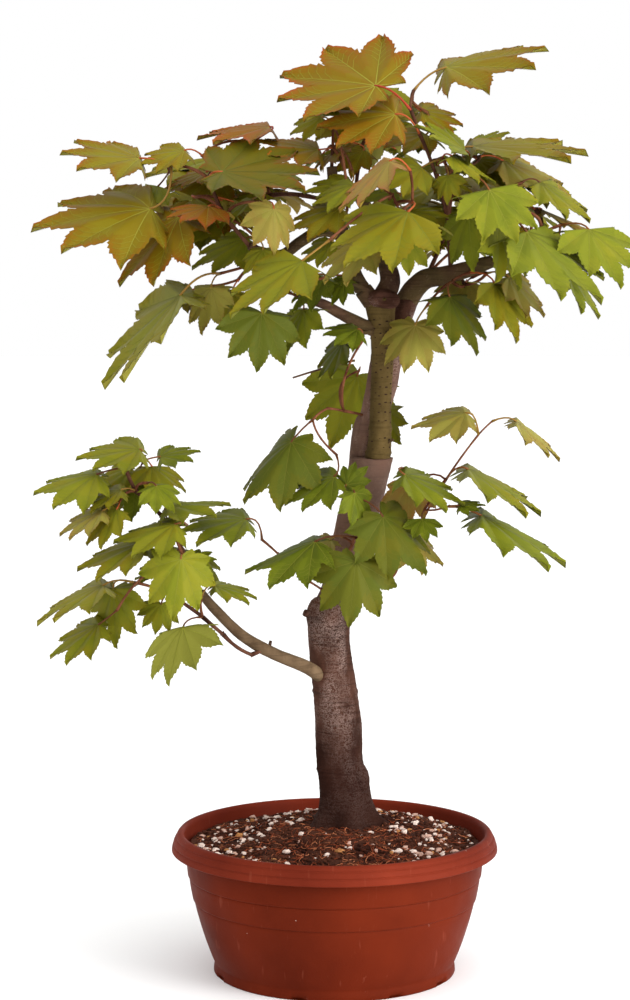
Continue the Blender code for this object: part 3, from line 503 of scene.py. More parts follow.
class Mass:
    """The twigs and leaves of one mass as they grow; a node is place, parent and reach."""

    def __init__(self, spec):
        self.spec = spec
        self.nodes = []
        self.leaves = []
        for i, place in enumerate(Vector(stop) for stop in spec["stem"]):
            self.nodes.append((place, i - 1, self.reach_at(i - 1, place)))
        self.blades = []
        self.wood = [tree_of(twig_solid(list(pair), STEM_ROOM, STEM_ROOM))
                     for pair in zip((node[0] for node in self.nodes),
                                     (node[0] for node in self.nodes[1:]))]

    def reach_at(self, parent, place):
        """How far along its twigs a place lies from the foot of the stem."""
        return self.nodes[parent][2] + (place - self.nodes[parent][0]).length if self.nodes else 0

    def nearest_nodes(self, joint, midrib):
        """The nodes that a leaf could spring from, from the least new wood, behind its blade."""
        def cost(i):
            run = self.nodes[i][0] - joint
            ahead = max(0.0, run.normalized().dot(midrib))
            return run.length * (1 + 0.8 * ahead) + 0.15 * self.nodes[i][2]
        return sorted(range(1, len(self.nodes)), key=cost)[:NODE_CHOICES]

    def try_leaf(self, leaf, limbs, others):
        """Add a leaf, with a twig where it stands far off, if they touch nothing."""
        joint, midrib, _, length = leaf_frame(leaf)
        blade = tree_of(leaf_solid(leaf, swell=TWIG_ROOM))
        if touches(blade, self.blades + limbs + others):
            return False
        stalk = PETIOLE_SHARE * length
        for start in self.nearest_nodes(joint, midrib):
            node = self.nodes[start][0]
            run = joint - node
            wood = []
            twig = None
            if run.length > STALK_REACH * stalk:
                back = (run.normalized() + 0.5 * midrib).normalized()
                twig = joint - back * stalk
                wood.append(tree_of(twig_solid([node, twig], TWIG_WIDTH, TWIG_WIDTH)))
                node = twig
            if twig and touches(wood[0], self.blades + [blade]):
                continue
            wood.append(tree_of(twig_solid(stalk_route(leaf, node), STALK_WIDTH, STALK_WIDTH)))
            if any(touches(piece, limbs + others) for piece in wood):
                continue
            if twig:
                self.nodes.append((twig, start, self.reach_at(start, twig)))
                start = len(self.nodes) - 1
            self.leaves.append((leaf, start))
            self.blades.append(blade)
            self.wood += wood
            return True
        return False

    def girths(self):
        """Each node's twig radius, which grows with the leaves that it carries."""
        carried = [0] * len(self.nodes)
        for _, start in self.leaves:
            while start >= 0:
                carried[start] += 1
                start = self.nodes[start][1]
        return [TWIG_RADIUS + TWIG_GROWTH * math.sqrt(count) for count in carried]


# Each limb: its stations, the sides of its plain form, a phase for its swells and if it stands
LIMBS = {
    "trunk": (TRUNK, 16, 0.4, True),
    "front_stem": (FRONT_STEM, 12, 1.1, True),
    "rear_stem": (REAR_STEM, 12, 2.3, True),
    "right_bough": (RIGHT_BOUGH, 9, 0.9, False),
    "top_bough": (TOP_BOUGH, 9, 1.7, False),
    "left_limb": (LEFT_LIMB, 8, 2.9, False),
    "far_left_bough": (FAR_LEFT_BOUGH, 8, 0.2, False),
    "left_side_bough": (LEFT_SIDE_BOUGH, 8, 1.4, False),
    "low_left_bough": (LOW_LEFT_BOUGH, 8, 2.1, False),
}


def limb_shape(name, grow):
    """The solid of a named limb, slightly larger than its bark."""
    stations, sides, _, level = LIMBS[name]
    route = smooth_route(stations, STANDING_STEP if level else BOUGH_STEP)
    return stitch(limb_rings(name, route, sides, lambda *_: grow))


def skins_beside(plans, name):
    """The blades and the wood of every mass but one."""
    return [tree for other, plan in plans.items() if other != name
            for tree in plan.blades + plan.wood]


def fill_space(plan, count, rng, limbs, around, lengths=None):
    """Add leaves by the seeded rule within the mass's own space, until it has so many more."""
    full = len(plan.leaves) + count
    for leaf in filling_leaves(plan.spec, count, rng):
        if len(plan.leaves) >= full:
            break
        if lengths:
            leaf = (*leaf[:6], rng.uniform(*lengths))
        if inside_space(leaf_solid(leaf)[0], plan.spec):
            plan.try_leaf(leaf, limbs, around)


def grow_crown():
    """Plan every mass of foliage, each clear of the limbs and of the other masses.

    The leaves at the surface find their places first, then those that fill the spaces.
    A leaf that finds no clear place near its own is skipped.
    """
    limbs = [tree_of(limb_shape(name, LIMB_ROOM)) for name in LIMBS]
    plans = {name: Mass(spec) for name, spec in MASSES.items()}
    for name, plan in plans.items():
        for leaf in plan.spec["leaves"]:
            for shift in NUDGES:
                moved = (leaf[0], leaf[1] + shift, *leaf[2:])
                if plan.try_leaf(moved, limbs, skins_beside(plans, name)):
                    break
    for name, plan in plans.items():
        rng = random.Random(plan.spec["seed"])
        fill_space(plan, plan.spec["fill"], rng, limbs, skins_beside(plans, name))
    return plans


def srgb(red, green, blue):
    """Linear colour from 0 to 255 screen values."""
    return [((c / 255 + 0.055) / 1.055) ** 2.4 if c > 10 else c / 3294.6 for c in (red, green, blue)]


NONE = (0, 0, 0)


class Look:
    """A Principled material that is built up from noise, ramps, mixes and a bump."""

    def __init__(self, name, colour, roughness, gloss=0.12):
        self.material = bpy.data.materials.new(name)
        self.material.use_nodes = True
        self.nodes = self.material.node_tree.nodes
        self.links = self.material.node_tree.links
        self.shader = self.nodes["Principled BSDF"]
        for socket, value in (("Base Color", (*colour, 1)), ("Roughness", roughness),
                              ("Specular IOR Level", gloss)):
            self.shader.inputs[socket].default_value = value

    def coords(self):
        """The object's own coordinates, in metres."""
        return self.nodes.new("ShaderNodeTexCoord").outputs["Object"]

    def noise(self, scale, detail=3, stretch=(1, 1, 1), rough=0.5):
        """Noise over the object, stretched per axis; scale is per metre."""
        mapping = self.nodes.new("ShaderNodeMapping")
        mapping.inputs["Scale"].default_value = stretch
        self.links.new(self.coords(), mapping.inputs["Vector"])
        made = self.nodes.new("ShaderNodeTexNoise")
        for socket, value in (("Scale", scale), ("Detail", detail), ("Roughness", rough)):
            made.inputs[socket].default_value = value
        self.links.new(mapping.outputs["Vector"], made.inputs["Vector"])
        return made.outputs["Fac"]

    def ramp(self, factor, *stops):
        """A colour ramp of (place, linear colour) stops."""
        made = self.nodes.new("ShaderNodeValToRGB")
        ends = made.color_ramp.elements
        while len(ends) < len(stops):
            ends.new(0.5)
        for end, (place, colour) in zip(ends, stops):
            end.position = place
            end.color = (*colour, 1)
        self.links.new(factor, made.inputs["Fac"])
        return made.outputs["Color"]

    def share(self, factor, low, high, top):
        """A share that rises from 0 at low to top at high."""
        return self.ramp(factor, (low, NONE), (high, (top,) * 3))

    def mix(self, factor, first, second, blend="MIX"):
        """Mix of two colour sockets or colours by a socket or a number."""
        made = self.nodes.new("ShaderNodeMix")
        made.data_type = "RGBA"
        made.blend_type = blend
        for name, value in (("Factor", factor), ("A", first), ("B", second)):
            socket = next(s for s in made.inputs if s.name == name and s.enabled)
            if isinstance(value, bpy.types.NodeSocket):
                self.links.new(value, socket)
            else:
                socket.default_value = value if name == "Factor" else (*value, 1)
        return next(s for s in made.outputs if s.enabled)

    def both(self, first, second):
        """The product of two shares."""
        return self.mix(1.0, first, second, "MULTIPLY")

    def rise(self, low, high):
        """A share that rises from 0 to 1 between two heights in millimetres."""
        split = self.nodes.new("ShaderNodeSeparateXYZ")
        self.links.new(self.coords(), split.inputs["Vector"])
        made = self.nodes.new("ShaderNodeMapRange")
        made.inputs["From Min"].default_value = low * MM
        made.inputs["From Max"].default_value = high * MM
        self.links.new(split.outputs["Z"], made.inputs["Value"])
        return made.outputs["Result"]

    def bump(self, height, depth):
        """Bump from a height socket, with its depth in millimetres."""
        made = self.nodes.new("ShaderNodeBump")
        made.inputs["Strength"].default_value = 1.0
        made.inputs["Distance"].default_value = depth * MM
        self.links.new(height, made.inputs["Height"])
        self.links.new(made.outputs["Normal"], self.shader.inputs["Normal"])

    def paint(self, colour, socket="Base Color"):
        """Lead a colour to the shader."""
        self.links.new(colour, self.shader.inputs[socket])


# Leaf tints: autumn ones from deep green to rose, then pale ones, then shaded ones: darker copies that
# are painted shade for leaves that lie in shade
TINTS = (
    (80, 89, 18), (96, 104, 21), (109, 114, 24), (121, 120, 27), (125, 116, 23), (124, 107, 18),
    (123, 98, 14), (127, 92, 14), (132, 86, 16), (140, 79, 20), (148, 72, 28), (158, 80, 44),
    (142, 134, 58), (144, 124, 56), (148, 112, 56), (156, 96, 56),
    (80, 86, 22), (90, 88, 19), (98, 86, 14), (118, 72, 24),
)
TINT_GROUPS = ((0, 11), (12, 15), (16, 19))
PALE_TONE = 11.5
SHADED_TONE = 15.5
TINT_STEPS = 2
UNDER_TINTS = ((110, 110, 40), (124, 118, 44), (134, 112, 44), (140, 98, 44))
PALE_UNDER = 2
# The last vein tint is painted shade too, for the veins of leaves in the shaded tints
VEIN_TINTS = ((122, 124, 42), (146, 140, 50), (152, 132, 52), (156, 142, 70), (98, 100, 34))
VEIN_TONES = (3.8, 6.5, PALE_TONE, SHADED_TONE)
UNDER_FIRST = (len(TINTS) - 1) * TINT_STEPS + 1
VEIN_FIRST = UNDER_FIRST + len(UNDER_TINTS)


def leaf_material(name, tint, roughness):
    """A plain tint with a soft waxy gloss and a fine grain between its veins."""
    look = Look(name, srgb(*tint), roughness, 0.07)
    look.bump(look.noise(420), 0.16)
    return look.material


def leaf_materials():
    """Plain tints for the leaves, one material each: blades, undersides, then veins."""
    made = []
    for i in range(UNDER_FIRST):
        low, share = divmod(i, TINT_STEPS)
        share /= TINT_STEPS
        ends = TINTS[low], TINTS[min(low + 1, len(TINTS) - 1)]
        tint = [a + (b - a) * share for a, b in zip(*ends)]
        made.append(leaf_material(f"leaf_{i + 1}", tint, 0.5))
    for kind, tints in (("under", UNDER_TINTS), ("vein", VEIN_TINTS)):
        made += [leaf_material(f"leaf_{kind}_{i + 1}", tint, 0.62) for i, tint in enumerate(tints)]
    return made


# The fine leaf: lobe angles from the midrib in degrees with their lengths, and the notch
FINE_LOBES = ((0, 1.0), (32, 0.95), (66, 0.82), (104, 0.58), (148, 0.32))
SINUS_SHARE = 0.58
NOTCH = (176, 0.05)
# Its edge, in parts of the blade or lobe: teeth, how a lobe bulges and how it narrows to its tip
TEETH = 6
TOOTH = 0.026
TOOTH_PEAK = 0.72
TOOTH_FADE = 0.65
LOBE_BULGE = 0.075
TIP_NARROWING = 0.55
TIP_POWER = 2.4
# Its palm and its pleats between the veins
PALM_ROWS = 3
PALM_REACH = 0.82
PALM_LEAST = 0.02
PLEAT = 0.055
COLUMNS = (0, 0.42, 0.76, 1)
# Its veins: half widths in parts of the blade, and the places along a main vein
VEIN_HALF = 0.0062
FINE_VEIN_HALF = 0.0022
VEIN_PLACES = (0, 0.2, 0.4, 0.6, 0.8, 0.96)
# Its two sheets: how far apart, and how far its veins stand off them, in millimetres
SHEET_GAP = 0.35
VEIN_LIFT = 0.3
# How many different leaves there are, and how each bends: its dome, the fold of its hind lobes
# and the hang of its side lobes
TEMPLATES = 7
DOME = (0.04, 0.14)
TUCK = 0.85
HANG = 0.17


def polar(angle, reach):
    """A place in the leaf's plane at an angle in degrees from the midrib."""
    angle = math.radians(angle)
    return np.array((reach * math.cos(angle), reach * math.sin(angle)))


def half_lobe(angle, length, sinus, rng):
    """Rows of points from a lobe's vein to its toothed edge, and how near each is to the edge."""
    tip = polar(angle, length)
    ahead = tip / np.linalg.norm(tip)
    low = polar(*sinus)
    outward = low - ahead * low.dot(ahead)
    outward /= np.linalg.norm(outward)
    palm = max(PALM_REACH * low.dot(ahead), PALM_LEAST)
    rows = []
    for i in range(PALM_ROWS):
        share = i / PALM_ROWS
        rows.append((ahead * palm * share, low * share, 0.0))
    run = np.linalg.norm(tip - low)
    bend = low + ahead * 0.5 * run + outward * LOBE_BULGE * length
    for k in range(2 * TEETH):
        tooth = k // 2
        t = 0.95 * (tooth + (TOOTH_PEAK if k % 2 else 0)) / TEETH
        place = (1 - t) ** 2 * low + 2 * t * (1 - t) * bend + t * t * tip
        place = place - outward * place.dot(outward) * TIP_NARROWING * t ** TIP_POWER
        if k % 2:
            size = TOOTH * length * rng.uniform(0.7, 1.3) * (1 if tooth % 2 else 0.7)
            size *= 1 - TOOTH_FADE * t ** TIP_POWER
            place = place + (outward * 0.9 + ahead * 0.5) * size
        vein = palm + (length - palm) * t ** 0.85
        rows.append((ahead * min(vein, 0.99 * length), place, 0.25 + 0.75 * t))
    rows.append((tip, tip, 1.0))
    grid = []
    for i, (vein, edge, out) in enumerate(rows):
        past_palm = i >= PALM_ROWS
        for share in COLUMNS:
            place = vein + (edge - vein) * share
            height = PLEAT * np.linalg.norm(place) * math.sin(math.pi / 2 * share) ** 1.3
            height += 0.006 * length * share * math.sin(i * 2.4) * past_palm
            grid.append((place[0], place[1], height, out * share ** 1.5 * past_palm))
    return grid, len(rows)


class LeafTemplate:
    """A leaf of length 1 in its own plane: corners, faces and how near each face is to the edge.

    Corners are along the midrib, across it and up from it.
    """

    def __init__(self, seed):
        rng = random.Random(seed)
        corners = []
        faces = []
        self.veins = []
        lobes = [(a + rng.uniform(-2, 2) * (a > 0), r * rng.uniform(0.96, 1.04)) for a, r in FINE_LOBES]
        for side in (1, -1):
            sinuses = [((a + b) / 2, SINUS_SHARE * (p + q) / 2)
                       for (a, p), (b, q) in zip(lobes, lobes[1:])] + [NOTCH]
            for i, (angle, length) in enumerate(lobes):
                for sinus in (sinuses[i], sinuses[i - 1] if i else None):
                    if sinus is None:
                        continue
                    grid, rows = half_lobe(angle, length, sinus, rng)
                    self.add_patch(grid, rows, side, corners, faces)
                    self.add_side_veins(grid, rows, side)
                if i or side == 1:
                    tip = polar(angle, length)
                    self.veins.append([(*(tip * share * np.array((1, side))), 0,
                                        VEIN_HALF * (1 - 0.8 * share)) for share in VEIN_PLACES])
        corners = np.array(corners)
        _, first, place = np.unique(np.round(corners[:, :2], 4), axis=0, return_index=True,
                                    return_inverse=True)
        self.corners = corners[first, :3]
        edge = corners[first, 3]
        place = place.ravel()
        self.faces = []
        self.edge = []
        for face in faces:
            kept = list(dict.fromkeys(int(place[k]) for k in face))
            if len(kept) > 2:
                self.faces.append(kept)
                self.edge.append(float(np.mean(edge[kept])))

    @staticmethod
    def add_patch(grid, rows, side, corners, faces):
        """Mirror a half lobe to its side and join its rows with faces that look up."""
        start = len(corners)
        wide = len(COLUMNS)
        corners += [(u, v * side, h, e) for u, v, h, e in grid]
        for r in range(rows - 1):
            for c in range(wide - 1):
                a = start + r * wide + c
                face = [a, a + wide, a + wide + 1, a + 1]
                area = sum(corners[p][0] * corners[q][1] - corners[q][0] * corners[p][1]
                           for p, q in zip(face, face[1:] + face[:1]))
                faces.append(face if area > 0 else face[::-1])

    def add_side_veins(self, grid, rows, side):
        """Fine veins that leave a lobe's main vein for its teeth, as points and half widths."""
        for r in range(PALM_ROWS + 1, rows - 2, 2):
            line = []
            for c in range(3):
                u, v, height, _ = grid[(r - 1 + (c > 0)) * len(COLUMNS) + c]
                line.append((u, v * side, height, FINE_VEIN_HALF * (1 - 0.3 * c)))
            self.veins.append(line)


class Sheets:
    """Points, faces and material numbers of a growing mesh."""

    def __init__(self, points=(), faces=()):
        self.points = []
        self.faces = []
        self.looks = []
        self.add(points, faces, 0)

    def add(self, points, faces, looks):
        """Take in more faces, with one material number for all or a list of them."""
        start = len(self.points)
        self.points.extend(map(tuple, points))
        self.faces.extend([tuple(start + k for k in face) for face in faces])
        self.looks.extend(looks if isinstance(looks, list) else [looks] * len(faces))

    def piece(self, name, materials, slot, nodes=(), smooth=True):
        """The finished mesh as a piece that rides with the plant."""
        mesh = bpy.data.meshes.new(name)
        mesh.from_pydata([(x * MM, y * MM, z * MM) for x, y, z in self.points], [], self.faces)
        used = sorted(set(self.looks))
        for look in used:
            mesh.materials.append(materials[look])
        order = {look: i for i, look in enumerate(used)}
        mesh.polygons.foreach_set("material_index", [order[look] for look in self.looks])
        if smooth:
            mesh.shade_smooth()
        mesh.update()
        part = bpy.data.objects.new(name, mesh)
        bpy.context.scene.collection.objects.link(part)
        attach(part, "root")
        if nodes:
            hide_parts(*nodes)
        return part


# Looks of leaves by letter: where the middle and the rim of the blade lie among the tints; n and w lie
# among the shaded tints, which are painted shade
LOOKS = {
    "d": (0.6, 1.2), "g": (1.7, 2.4), "m": (2.7, 3.5), "y": (3.4, 4.7), "b": (4.2, 7.4),
    "o": (4.8, 9.4), "z": (5.8, 10.0), "r": (7.8, 10.6), "p": (12.2, 13.4), "k": (13.4, 15.0),
    "n": (16.2, 16.9), "w": (17.6, 18.9),
}


def tint_group(tone):
    """Whether a tone is of the autumn tints (0), the pale ones (1) or the shaded ones, which are
    painted shade (2).
    """
    return (tone > PALE_TONE) + (tone > SHADED_TONE)


def tint_of(tone, rim, edge, wander):
    """The number of the tint at a place between the middle (0) and the rim (1) of a blade."""
    low, high = TINT_GROUPS[tint_group(tone)]
    value = min(high, max(low, tone + (rim - tone) * edge + wander))
    return round(value * TINT_STEPS)


def add_leaf(blades, veins, leaf, letter, hang, template, rng):
    """One leaf with its upper and lower sheets and its veins, in its own tints."""
    joint, midrib, upper, length = leaf_frame(leaf)
    side = upper.cross(midrib)
    base = np.array(joint)
    axes = np.array((midrib, side, upper)) * length
    dome, across = rng.uniform(*DOME), hang + rng.uniform(-0.04, 0.04)
    tuck = TUCK * (0.3 if hang < 0 else max(0.1, 1 - 1.4 * max(0, hang - 0.1)))
    skew = rng.uniform(-0.08, 0.08)
    ripple = rng.uniform(0, 6.3)

    def bend(flat):
        """Dome the blade, fold its hind lobes down and give it a slight twist and waves."""
        u, v, h = flat[:, 0], flat[:, 1], flat[:, 2]
        reach = np.hypot(u, v)
        h = h + dome * reach * (1 - reach) - across * np.abs(v) ** 1.4 + skew * u * v
        h = h + 0.02 * reach ** 2 * np.sin(5 * np.arctan2(v, u) + ripple)
        back = np.minimum(u, 0)
        h = h + tuck * back
        u = u - 0.75 * tuck * back
        return np.stack((u, v * (1 - 0.35 * across * reach), h), 1)

    tone, rim = LOOKS[letter]
    tone += rng.uniform(-0.5, 0.5)
    rim += rng.uniform(-0.7, 0.7)
    points = base + bend(template.corners) @ axes
    seed = Vector((rng.uniform(0, 99), rng.uniform(0, 99), 0))
    looks = []
    for face, edge in zip(template.faces, template.edge):
        u, v = template.corners[face].mean(0)[:2]
        wander = noise.noise(seed + Vector((u * 3, v * 3, 0))) * 1.1
        looks.append(tint_of(tone, rim, min(1, edge * 1.25), wander))
    blades.add(points, template.faces, looks)
    under = (min(3, int(tone / 3)), PALE_UNDER, 0)[tint_group(tone)]
    lower = points - np.array(upper) * SHEET_GAP
    blades.add(lower, [face[::-1] for face in template.faces], UNDER_FIRST + under)
    vein = VEIN_FIRST + sum(tone > step for step in VEIN_TONES)
    for line in template.veins:
        line = np.array(line)
        route = line[:, :2]
        ahead = np.gradient(route, axis=0)
        ahead /= np.linalg.norm(ahead, axis=1)[:, None] + 1e-9
        beside = np.stack((-ahead[:, 1], ahead[:, 0]), 1) * line[:, 3:4]
        left = bend(np.column_stack((route + beside, line[:, 2])))
        right = bend(np.column_stack((route - beside, line[:, 2])))
        n = len(line)
        quads = [(i, n + i, n + i + 1, i + 1) for i in range(n - 1)]
        for lift, turn in ((VEIN_LIFT, 1), (-SHEET_GAP - VEIN_LIFT, -1)):
            rails = base + np.concatenate((left, right)) @ axes + np.array(upper) * lift
            veins.add(rails, [quad[::turn] for quad in quads], vein)


def add_tube(sheets, route, radii, sides, look):
    """A round tube along a route of places, with its own radius at each."""
    rings = []
    across = None
    for i, (place, radius) in enumerate(zip(route, radii)):
        ahead = (route[min(i + 1, len(route) - 1)] - route[max(i - 1, 0)]).normalized()
        if across is None:
            across = ahead.cross(FRONT if abs(ahead.y) < 0.8 else UP).normalized()
        across = (across - ahead * across.dot(ahead)).normalized()
        beside = ahead.cross(across)
        rings.append([place + (across * math.cos(angle) + beside * math.sin(angle)) * radius
                      for angle in turns(sides)])
    sheets.add(*stitch(rings), look)


def arc(start, bend, end, steps):
    """Places on a curve from start to end that heads for bend in between."""
    return [start * (1 - t) ** 2 + bend * 2 * t * (1 - t) + end * t * t
            for t in (i / steps for i in range(steps + 1))]


# Looks of the set leaves of each mass, in their order, then of the leaves that follow the rule,
# by whether they are in the crown
SHOWN_LOOKS = {
    "crown_top": "gyyymzzobmypo", "crown_right": "gmgmgg", "crown_right_under": "pnypp",
    "crown_front": "ypkmgyym", "crown_middle": "zyoybgm", "crown_left": "pymrwzbrooz",
    "crown_left_low": "mpypy", "crown_under": "dgnd", "mid_left": "dnmnd", "mid_front": "ddnndp",
    "mid_right": "pdkgdgmpp", "mid_back": "m", "shoulder_left": "g",
    "low_left_top": "mgymypygmmyg", "low_left_bottom": "mmymmmd",
}
REST_LOOKS = {True: "ymobzyom", False: "gmdggy"}
# How far the lobes of some leaves hang, by the leaf's place in its mass; the rest hang a little
HANGS = {
    "crown_top": {4: 0, 6: -0.1, 7: 0.2, 8: 0.08}, "crown_right": {4: 0.12},
    "crown_right_under": {0: 0.35, 2: 0, 4: 0.6}, "crown_front": {6: 0.08},
    "crown_left": {0: 0.6, 1: 0.35, 4: -0.05, 5: 0.1, 7: 0.08, 8: 0.12, 9: 0.22},
    "mid_left": {0: 0.35, 3: 0.7},
    "crown_left_low": {4: 0}, "mid_right": {0: 0.4, 2: 0.7, 5: 0.18, 6: 0.16, 7: 0.3},
    "mid_front": {0: 0.3, 2: 0.6, 3: 0.45, 4: 0.4, 5: 0.05},
    "low_left_top": {1: 0.1, 2: 0.35, 3: 0.35, 7: 0.35, 8: 0.3, 9: 0.3},
    "low_left_bottom": {0: 0.5, 5: 0.5, 6: 0.25},
}
# How many small leaves each mass takes on, and their lengths
FINE_FILL = {"crown_top": 3, "crown_right": 3, "crown_middle": 2, "crown_left": 3,
             "crown_back_left": 6, "crown_back_right": 6, "crown_back_top": 4, "low_left_top": 2,
             "low_left_bottom": 2}
FINE_LENGTH = (26, 44)
FINE_SEED = 500
# Twigs and stalks: how thick beside the plain ones, and under which radius a twig is young
TWIG_SIDES = 7
GIRTHS = {"mid_right": 0.5, "mid_left": 0.6, "mid_front": 0.6}
GIRTH = 0.7
YOUNG_GIRTH = 1.35
BUD_SIDES = 5
STALK_SIDES = 6
STALK_RADIUS = 0.85
CURVE_STEP = 6
STALK_TINTS = ((96, 56, 32), (124, 76, 38), (140, 106, 46), (166, 82, 42), (160, 60, 38))
# Stalk tints that go with each look of a leaf
STALKS_OF = {"d": (0, 1), "g": (0, 1), "m": (0, 1, 2), "y": (2, 3), "b": (3, 2), "o": (3, 2),
             "z": (3, 4), "r": (4, 3), "p": (2, 3), "k": (3, 1), "n": (0, 1), "w": (3, 2)}


def grow_finer(plans):
    """Carry each mass on to small leaves within its own space."""
    limbs = [tree_of(limb_shape(name, LIMB_ROOM)) for name in LIMBS]
    for name, count in FINE_FILL.items():
        rng = random.Random(plans[name].spec["seed"] + FINE_SEED)
        fill_space(plans[name], count, rng, limbs, skins_beside(plans, name), FINE_LENGTH)


def twig_route(plan, i):
    """The curved places of the twig that ends at a node."""
    place, parent, _ = plan.nodes[i]
    start = plan.nodes[parent][0]
    before = plan.nodes[plan.nodes[parent][1]][0] if plan.nodes[parent][1] >= 0 else None
    run = (place - start).length
    heading = (place - start).normalized()
    if before is not None:
        heading = (heading + 0.6 * (start - before).normalized()).normalized()
    return arc(start, start + heading * run * 0.5 + UP * 0.02 * run, place,
               max(3, round(run / CURVE_STEP)))


def add_twigs(plan, wood, share):
    """Round twigs, redder where thin, with a small swelling and bud scales at each node."""
    girths = [girth * share for girth in plan.girths()]
    for i, (_, parent, _) in enumerate(plan.nodes):
        if parent < 0:
            continue
        route = twig_route(plan, i)
        thin = girths[i]
        thick = min(girths[parent], thin * 1.25)
        n = len(route) - 1
        radii = [(thick + (thin - thick) * k / n) * (1 + 0.05 * math.sin(k * 2.1 + i))
                 for k in range(n + 1)]
        radii[-1] *= 1.3
        if n > 3:
            radii[-2] *= 1.12
        look = int(thin < YOUNG_GIRTH)
        add_tube(wood, route, radii, TWIG_SIDES, look)
        ahead = (route[-1] - route[-2]).normalized()
        across = ahead.orthogonal().normalized()
        for sign in (1, -1):
            tip = route[-1] + (across * sign * 1.6 + ahead * 1.4) * thin
            scale = [route[-1], (route[-1] + tip) / 2 + across * sign * 0.3, tip]
            add_tube(wood, scale, [thin * 0.6, thin * 0.5, 0.15], BUD_SIDES, look)


def add_stalks(plan, stalks, tints, rng):
    """The leaf stalks, swollen at the twig and slightly at the blade."""
    for (leaf, start), look in zip(plan.leaves, tints):
        joint, midrib, _, length = leaf_frame(leaf)
        node = plan.nodes[start][0]
        run = (node - joint).length
        bend = joint - midrib * 0.42 * run + UP * rng.uniform(0, 0.08) * run
        bend += Vector((rng.uniform(-1, 1), rng.uniform(-1, 1), rng.uniform(-1, 1))) * 0.03 * run
        route = arc(node, bend, joint + midrib * 0.01 * length, max(5, round(run / CURVE_STEP)))
        scale = STALK_RADIUS * (0.72 + 0.36 * length / 90)
        n = len(route) - 1
        radii = [scale * (1 + 0.7 * max(0, 1 - 5 * k / n) + 0.25 * max(0, 5 * k / n - 4))
                 for k in range(n + 1)]
        add_tube(stalks, route, radii, STALK_SIDES, look)


# Barks: dark, light and fleck colours, how fine the pattern is and how strong its cross lines
BARKS = {
    "twig_bark": ((58, 34, 26), (102, 66, 50), (128, 96, 76), 2, 0),
    "young_twig_bark": ((88, 48, 33), (134, 84, 58), (154, 110, 82), 2, 0),
    "old_bark": ((52, 33, 26), (94, 62, 50), (112, 84, 72), 1, 0.42),
    "stem_bark": ((60, 48, 24), (104, 85, 50), (56, 42, 26), 1, 0.25),
    "bough_bark": ((60, 42, 34), (98, 72, 54), (120, 102, 82), 1, 0.35),
    "low_bough_bark": ((82, 64, 46), (122, 100, 76), (84, 66, 50), 1, 0.3),
}
MOSS = (88, 76, 46)
LICHEN = 0.8
LICHEN_TINT = (176, 150, 140)
# Heights between which old bark fades from its darker foot, turns pale and is pale throughout
DARKER_FOOT = (176, 262)
DARKER_FOOT_TINT = (38, 17, 11)
PALE_FROM = (345, 400)
PALE_TO = (585, 525)
PALE_TINT = (158, 128, 112)


def bark_material(name):
    """Bark with blotches, flecks and cross lines.

    The boughs have some moss, and old bark has lichen, a darker foot and a pale top.
    """
    *tints, scale, lines = BARKS[name]
    dark, light, fleck = (srgb(*tint) for tint in tints)
    old = name == "old_bark"
    look = Look(name, light, 0.85, 0.04)
    colour = look.ramp(look.noise(38 * scale, 5, (1, 1, 0.55)), (0.34, dark), (0.66, light))
    if name == "bough_bark":
        colour = look.mix(look.share(look.noise(16 * scale), 0.45, 0.62, 0.8), colour, srgb(*MOSS))
    flecks = look.noise(330 * scale, 3, (1, 1, 0.8), 0.7)
    colour = look.mix(look.share(flecks, 0.58, 0.72, 0.5), colour, fleck)
    if old:
        threads = look.ramp(look.noise(300 * scale, 4, (1, 1, 1.5), 0.75),
                            (0.45, NONE), (0.5, (LICHEN,) * 3), (0.55, NONE))
        patches = look.share(look.noise(30 * scale, 4, (1, 1, 0.5)), 0.46, 0.6, 1)
        colour = look.mix(look.both(threads, patches), colour, srgb(*LICHEN_TINT))
    rings = look.noise(60 * scale, 4, (0.5, 0.5, 8))
    colour = look.mix(look.share(rings, 0.54, 0.62, lines), colour, [c * 0.45 for c in dark])
    if old:
        # Old bark is darker towards its foot, fading to its own tone between two heights
        darker_foot = look.mix(0.86, colour, srgb(*DARKER_FOOT_TINT))
        colour = look.mix(look.rise(*DARKER_FOOT), darker_foot, colour)
        pale = look.mix(0.32, colour, srgb(*PALE_TINT))
        colour = look.mix(look.both(look.rise(*PALE_FROM), look.rise(*PALE_TO)), colour, pale)
    look.paint(colour)
    look.bump(look.noise(240 * scale, 6, (1, 1, 2.2), 0.65), 0.9)
    return look.material


BARK_STEP = 1.8
# The two stations that take the low bough's foot into the trunk's bark
BOUGH_FOOT = ((-7, 14, 270, 7), (-16, 1, 277, 6.2))
# How rough each limb's bark is and how deep its fine lines
RELIEF = {
    "trunk": (0.9, 0.5), "rear_stem": (0.9, 0.35), "front_stem": (0.35, 0.2),
    "right_bough": (0.5, 0.3), "top_bough": (0.3, 0.2), "left_limb": (0.25, 0.2),
    "far_left_bough": (0.25, 0.15), "left_side_bough": (0.25, 0.15), "low_left_bough": (0.3, 0.2),
}
# Heights of the raised rings that old nodes leave
RINGS = {"trunk": (187, 258, 341, 372), "front_stem": (480, 503, 566)}
RING_HEIGHT = 0.9
RING_WIDTH = 1.6


def bark_relief(name, place, angle, height):
    """How far the bark stands out at a place on a limb, in millimetres."""
    rough, lines = RELIEF[name]
    spot = place * 0.05 + Vector((0, 0, 7 * len(name)))
    out = rough * noise.fractal(Vector((spot.x, spot.y, spot.z * 0.6)), 1.0, 2.1, 4)
    fine = noise.noise(Vector((math.cos(angle) * 1.4, math.sin(angle) * 1.4, height * 0.55)))
    out += lines * (abs(fine) - 0.25)
    for ring in RINGS.get(name, ()):
        wave = height - ring - 1.6 * math.sin(angle * 2 + ring)
        out += RING_HEIGHT * math.exp(-(wave / RING_WIDTH) ** 2)
    return out


